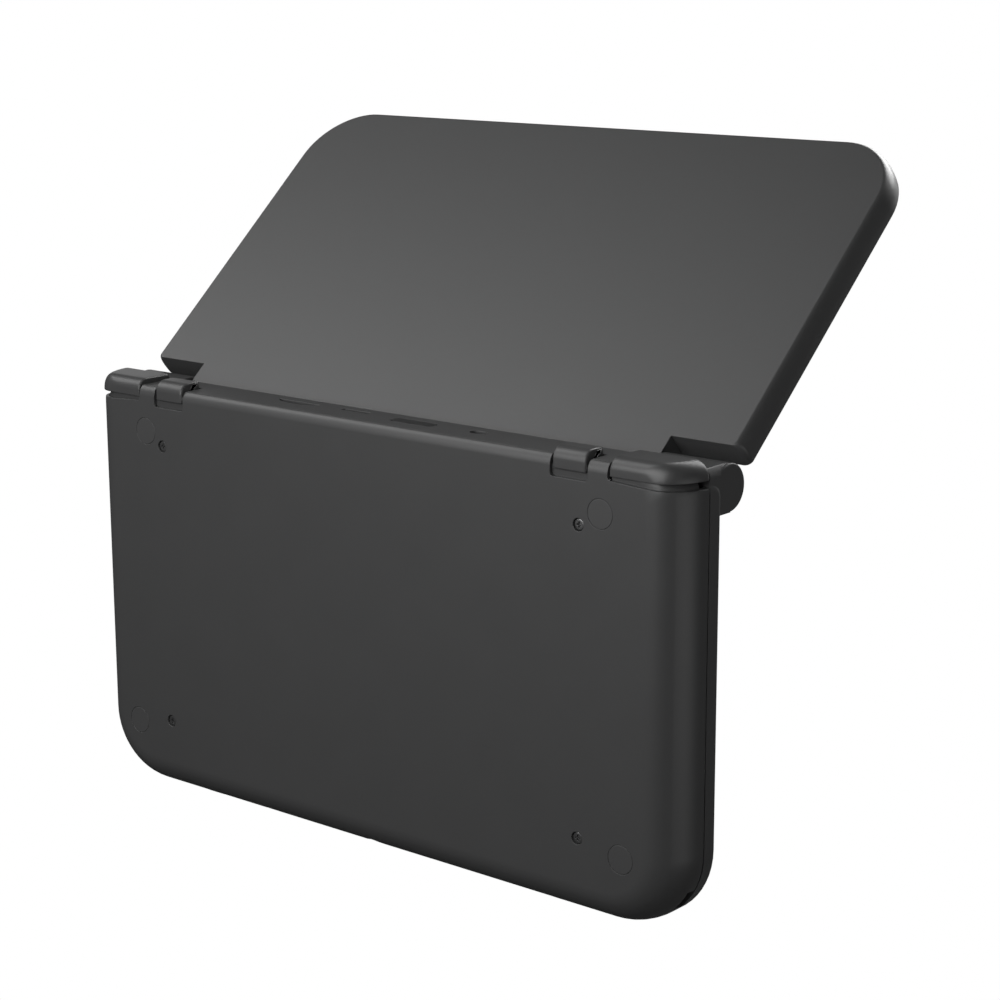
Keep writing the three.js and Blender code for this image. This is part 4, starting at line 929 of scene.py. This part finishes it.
def makeLidBezel():
    size = bezel
    low, high = size["cutLow"], size["cutHigh"]

    def cuts(mesh):
        window = around(0, -size["windowCentre"], size["windowHalfX"], size["windowHalfY"])
        softBlock(mesh, "z", low, high, window, [size["windowCorner"]] * 4)
        addRod(mesh, "z", low, high, 0, -size["cameraReach"], size["cameraHole"])
        halfX, halfY = slider["halfX"] + slider["gap"], slider["halfY"] + slider["travel"] + slider["gap"]
        for side in sides:
            softBlock(mesh, "z", low, high, *pill(side * slider["x"], -slider["reach"], halfX, halfY))
            for row in (-1, 0, 1):
                for column in (-0.5, 0.5):
                    addRod(mesh, "z", low, high, side * size["speakerX"] + column * size["speakerPitch"],
                           row * size["speakerPitch"] - size["speakerReach"], size["speakerHole"], steps=4)
            addRod(mesh, "z", low, -overrun, side * bumper["x"], -bumper["reach"],
                   bumper["radius"] + bumper["gap"])

    piece = newPiece("lidBezel", lambda mesh: lidPlate(
        mesh, lid["wall"] + size["gap"], -size["drop"], size["back"]))
    carve(piece, cuts)
    dress(opened(piece), "inner_plastic", "lid", "lid_bezel")


def makeUpperGlass():
    size, inset = bezel, bezel["glassInset"]
    edges = around(0, -size["windowCentre"], size["windowHalfX"] - inset, size["windowHalfY"] - inset)
    piece = newPiece("upperGlass", lambda mesh: softBlock(
        mesh, "z", size["glassStep"] - size["drop"], size["back"], edges, [size["glassCorner"]] * 4,
        size["glassSoft"]))
    dress(opened(piece), "screen_glass", "lid", "upper_screen_glass")


def makeSlider(name, body, side):
    size = slider

    def block(grow, front, corner, soft=0.0):
        edges = around(side * size["x"], -size["reach"], size["halfX"] + grow, size["halfY"] + grow)
        return lambda mesh: softBlock(mesh, "z", front, size["back"], edges, [corner] * 4, soft)

    piece = joined(name, block(0, size["front"], size["corner"], size["soft"]),
                   block(size["baseGrow"], size["baseFront"], size["baseCorner"]))
    dress(opened(piece), "key_plastic", body)


def makeBumper(side):
    piece = newPiece("lidBumper" + sideNames[side].capitalize(), lambda mesh: addRod(
        mesh, "z", -bumper["drop"], bumper["back"], side * bumper["x"], -bumper["reach"], bumper["radius"],
        bumper["soft"], steps=10))
    dress(opened(piece), "rubber_parts", "lid", "lid_bumper_" + sideNames[side])


# CAD nodes that stay, by their finish, with smoother normals

keptNodes = {
    "panel_metal": ("touch_screen_panel", "upper_screen_panel"), "board": ("main_board",),
    "cell_wrap": ("battery",), "cage_steel": ("card_slot_cage",), "key_plastic": ("power_button",),
    "inner_plastic": ("headphone_jack", "charge_port", "slide_pad_carrier", "cross_pad_core", "stylus"),
    "smoked_plastic": ("infrared_window", "inner_camera"), "clear_plastic": ("power_light", "charge_light"),
    "pin_steel": ("strap_pin", "hinge_pin_left", "hinge_pin_right", "trigger_pin_left", "trigger_pin_right"),
    "speaker_metal": ("speaker_left", "speaker_right"),
}


def dressNode(node, slotName):
    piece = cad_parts[node]
    piece.modifiers.new("weld", "WELD").merge_threshold = meshing["nodeWeld"]
    piece.modifiers.new("edges", "EDGE_SPLIT").split_angle = math.radians(meshing["nodeSharp"])
    smoothed(piece, slotName)


makeRearCover()
makeTopShell()
print("base shells made")
for side in sides:
    makeInnerTrigger(side)
    makeShoulderTrigger(side)
for corner, (x, y) in cornerPlaces(screw).items():
    makeScrew(corner, x, y)
for corner, (x, y) in cornerPlaces(foot).items():
    makeFoot(corner, x, y)
print("triggers, screws and feet made")
for name, (x, y) in facePlaces.items():
    makeRoundKey("faceKey_" + name, "face_button_" + name, x, y, keys["faceRadius"], keys["top"])
for name in ("start", "select"):
    makeRoundKey(name + "Key", name + "_button", deck["smallX"], deck[name + "Y"], keys["smallRadius"],
                 keys["smallTop"])
makeHomeKey()
makeCrossPad()
makeSlidePad()
makeNub()
makeTouchGlass()
print("deck controls made")
makeLidCover()
makeLidBezel()
makeUpperGlass()
makeSlider("volumeSlider", "volume_slider", -1)
makeSlider("depthSlider", "depth_slider", 1)
for side in sides:
    makeBumper(side)
for slotName, nodes in keptNodes.items():
    for node in nodes:
        dressNode(node, slotName)
print("lid made, CAD nodes dressed")


# Camera, floor, world and lamps

view = {
    "place": (-0.32712975, 0.13995942, -0.34853717), "degrees": (166.76164, -39.63634, -179.7795),
    "lens": 87.176, "sensor": 36.0, "nearest": 0.01,
}
studio = {  # in metres, and the light levels of the world
    "floorSize": 6.0, "floorDrop": 0.0004, "floorTone": 0.9, "floorClear": (0.35, 1.2),
    "worldLight": 0.18, "worldBelow": 0.1, "horizon": (-0.4, 0.4), "sheenShade": 0.88, "overhead": (0.95, 1.0),
}
lamps = {  # direction from the object, distance, size, power, and whether shiny surfaces show it
    "back": ((0.64, 0.69, -0.3), 0.9, (0.7, 0.45), 2.9, True),
    "rim": ((0.75, 0.18, 0.64), 1.2, (0.5, 0.5), 0.5, True),
    "below": ((0.0, 0.34, -0.94), 0.36, (0.4, 0.2), 1.0, True),
    "side": ((-0.97, -0.23, -0.03), 1.3, (0.3, 0.9), 1.3, True),
    "overhead": ((0.0, 0.5, 0.85), 1.4, (0.9, 0.9), 22, True),
    "front": ((0.0, -0.7, 0.9), 1.5, (0.8, 0.8), 14, False),
}


def makeCamera():
    data = bpy.data.cameras.new("camera")
    data.lens = view["lens"]
    data.sensor_width = view["sensor"]
    data.clip_start = view["nearest"]
    camera = newObject("camera", data)
    camera.location = view["place"]
    camera.rotation_euler = [math.radians(angle) for angle in view["degrees"]]
    bpy.context.scene.camera = camera


def makeFloor():  # shows its top only, and the light passes it, so that the underside can be lit and seen
    paint = Paint(bpy.data.materials.new("paleFloor"))
    place = paint.node("ShaderNodeTexCoord", output="Object")
    distance = paint.node("ShaderNodeVectorMath", {"operation": "LENGTH"}, {0: place}, output="Value")
    fade = paint.ramp(distance, *studio["floorClear"])
    below = paint.node("ShaderNodeNewGeometry", output="Backfacing")
    hidden = paint.node("ShaderNodeMath", {"operation": "MAXIMUM"}, {0: fade, 1: below})
    diffuse = paint.node("ShaderNodeBsdfDiffuse", {}, {"Color": grey(studio["floorTone"])})
    clear = paint.node("ShaderNodeBsdfTransparent")
    paint.finish(paint.node("ShaderNodeMixShader", {}, {0: hidden, 1: diffuse, 2: clear}))
    half = studio["floorSize"] / 2
    mesh = bpy.data.meshes.new("floor")
    corners = [(-half, -half, 0), (half, -half, 0), (half, half, 0), (-half, half, 0)]
    mesh.from_pydata(corners, [], [(0, 1, 2, 3)])
    mesh.materials.append(paint.owner)
    floor = newObject("floor", mesh)
    floor.location.z = -studio["floorDrop"]
    for ray in ("diffuse", "glossy", "transmission", "shadow", "volume_scatter"):
        setattr(floor, "visible_" + ray, False)


def makeWorld():
    world = bpy.data.worlds.new("studio")
    bpy.context.scene.world = world
    paint = Paint(world)
    way = paint.node("ShaderNodeTexCoord", output="Generated")
    height = paint.node("ShaderNodeSeparateXYZ", {}, {0: way}, output="Z")
    upward = paint.ramp(height, *studio["horizon"])
    overhead = paint.ramp(height, *studio["overhead"], "SMOOTHSTEP")
    camera, glossy, through = [paint.node("ShaderNodeLightPath", output="Is " + ray + " Ray")
                               for ray in ("Camera", "Glossy", "Transmission")]
    level = upward * (studio["worldLight"] - studio["worldBelow"]) + studio["worldBelow"]
    level = level * (1 - glossy * studio["sheenShade"])
    light, white = [paint.node("ShaderNodeBackground", {}, {"Color": grey(1.0), "Strength": strength})
                    for strength in (level, 1.0)]
    shown = camera + through + glossy * overhead
    paint.finish(paint.node("ShaderNodeMixShader", {}, {0: shown, 1: light, 2: white}), "ShaderNodeOutputWorld")


def makeLamps():
    middle = (Vector(cadBox[0]) + Vector(cadBox[1])) / 2
    for name, (direction, far, size, power, mirrored) in lamps.items():
        data = bpy.data.lights.new(name, "AREA")
        data.shape = "RECTANGLE"
        data.size, data.size_y = size
        data.energy = power
        lamp = newObject(name, data)
        way = Vector(direction).normalized()
        lamp.location = middle + way * far
        lamp.rotation_euler = way.to_track_quat("Z", "Y").to_euler()
        lamp.visible_camera = False
        lamp.visible_glossy = mirrored


makeCamera()
makeFloor()
makeWorld()
makeLamps()
bpy.context.scene.view_settings.view_transform = "Standard"
print("camera, floor, world and lamps made")
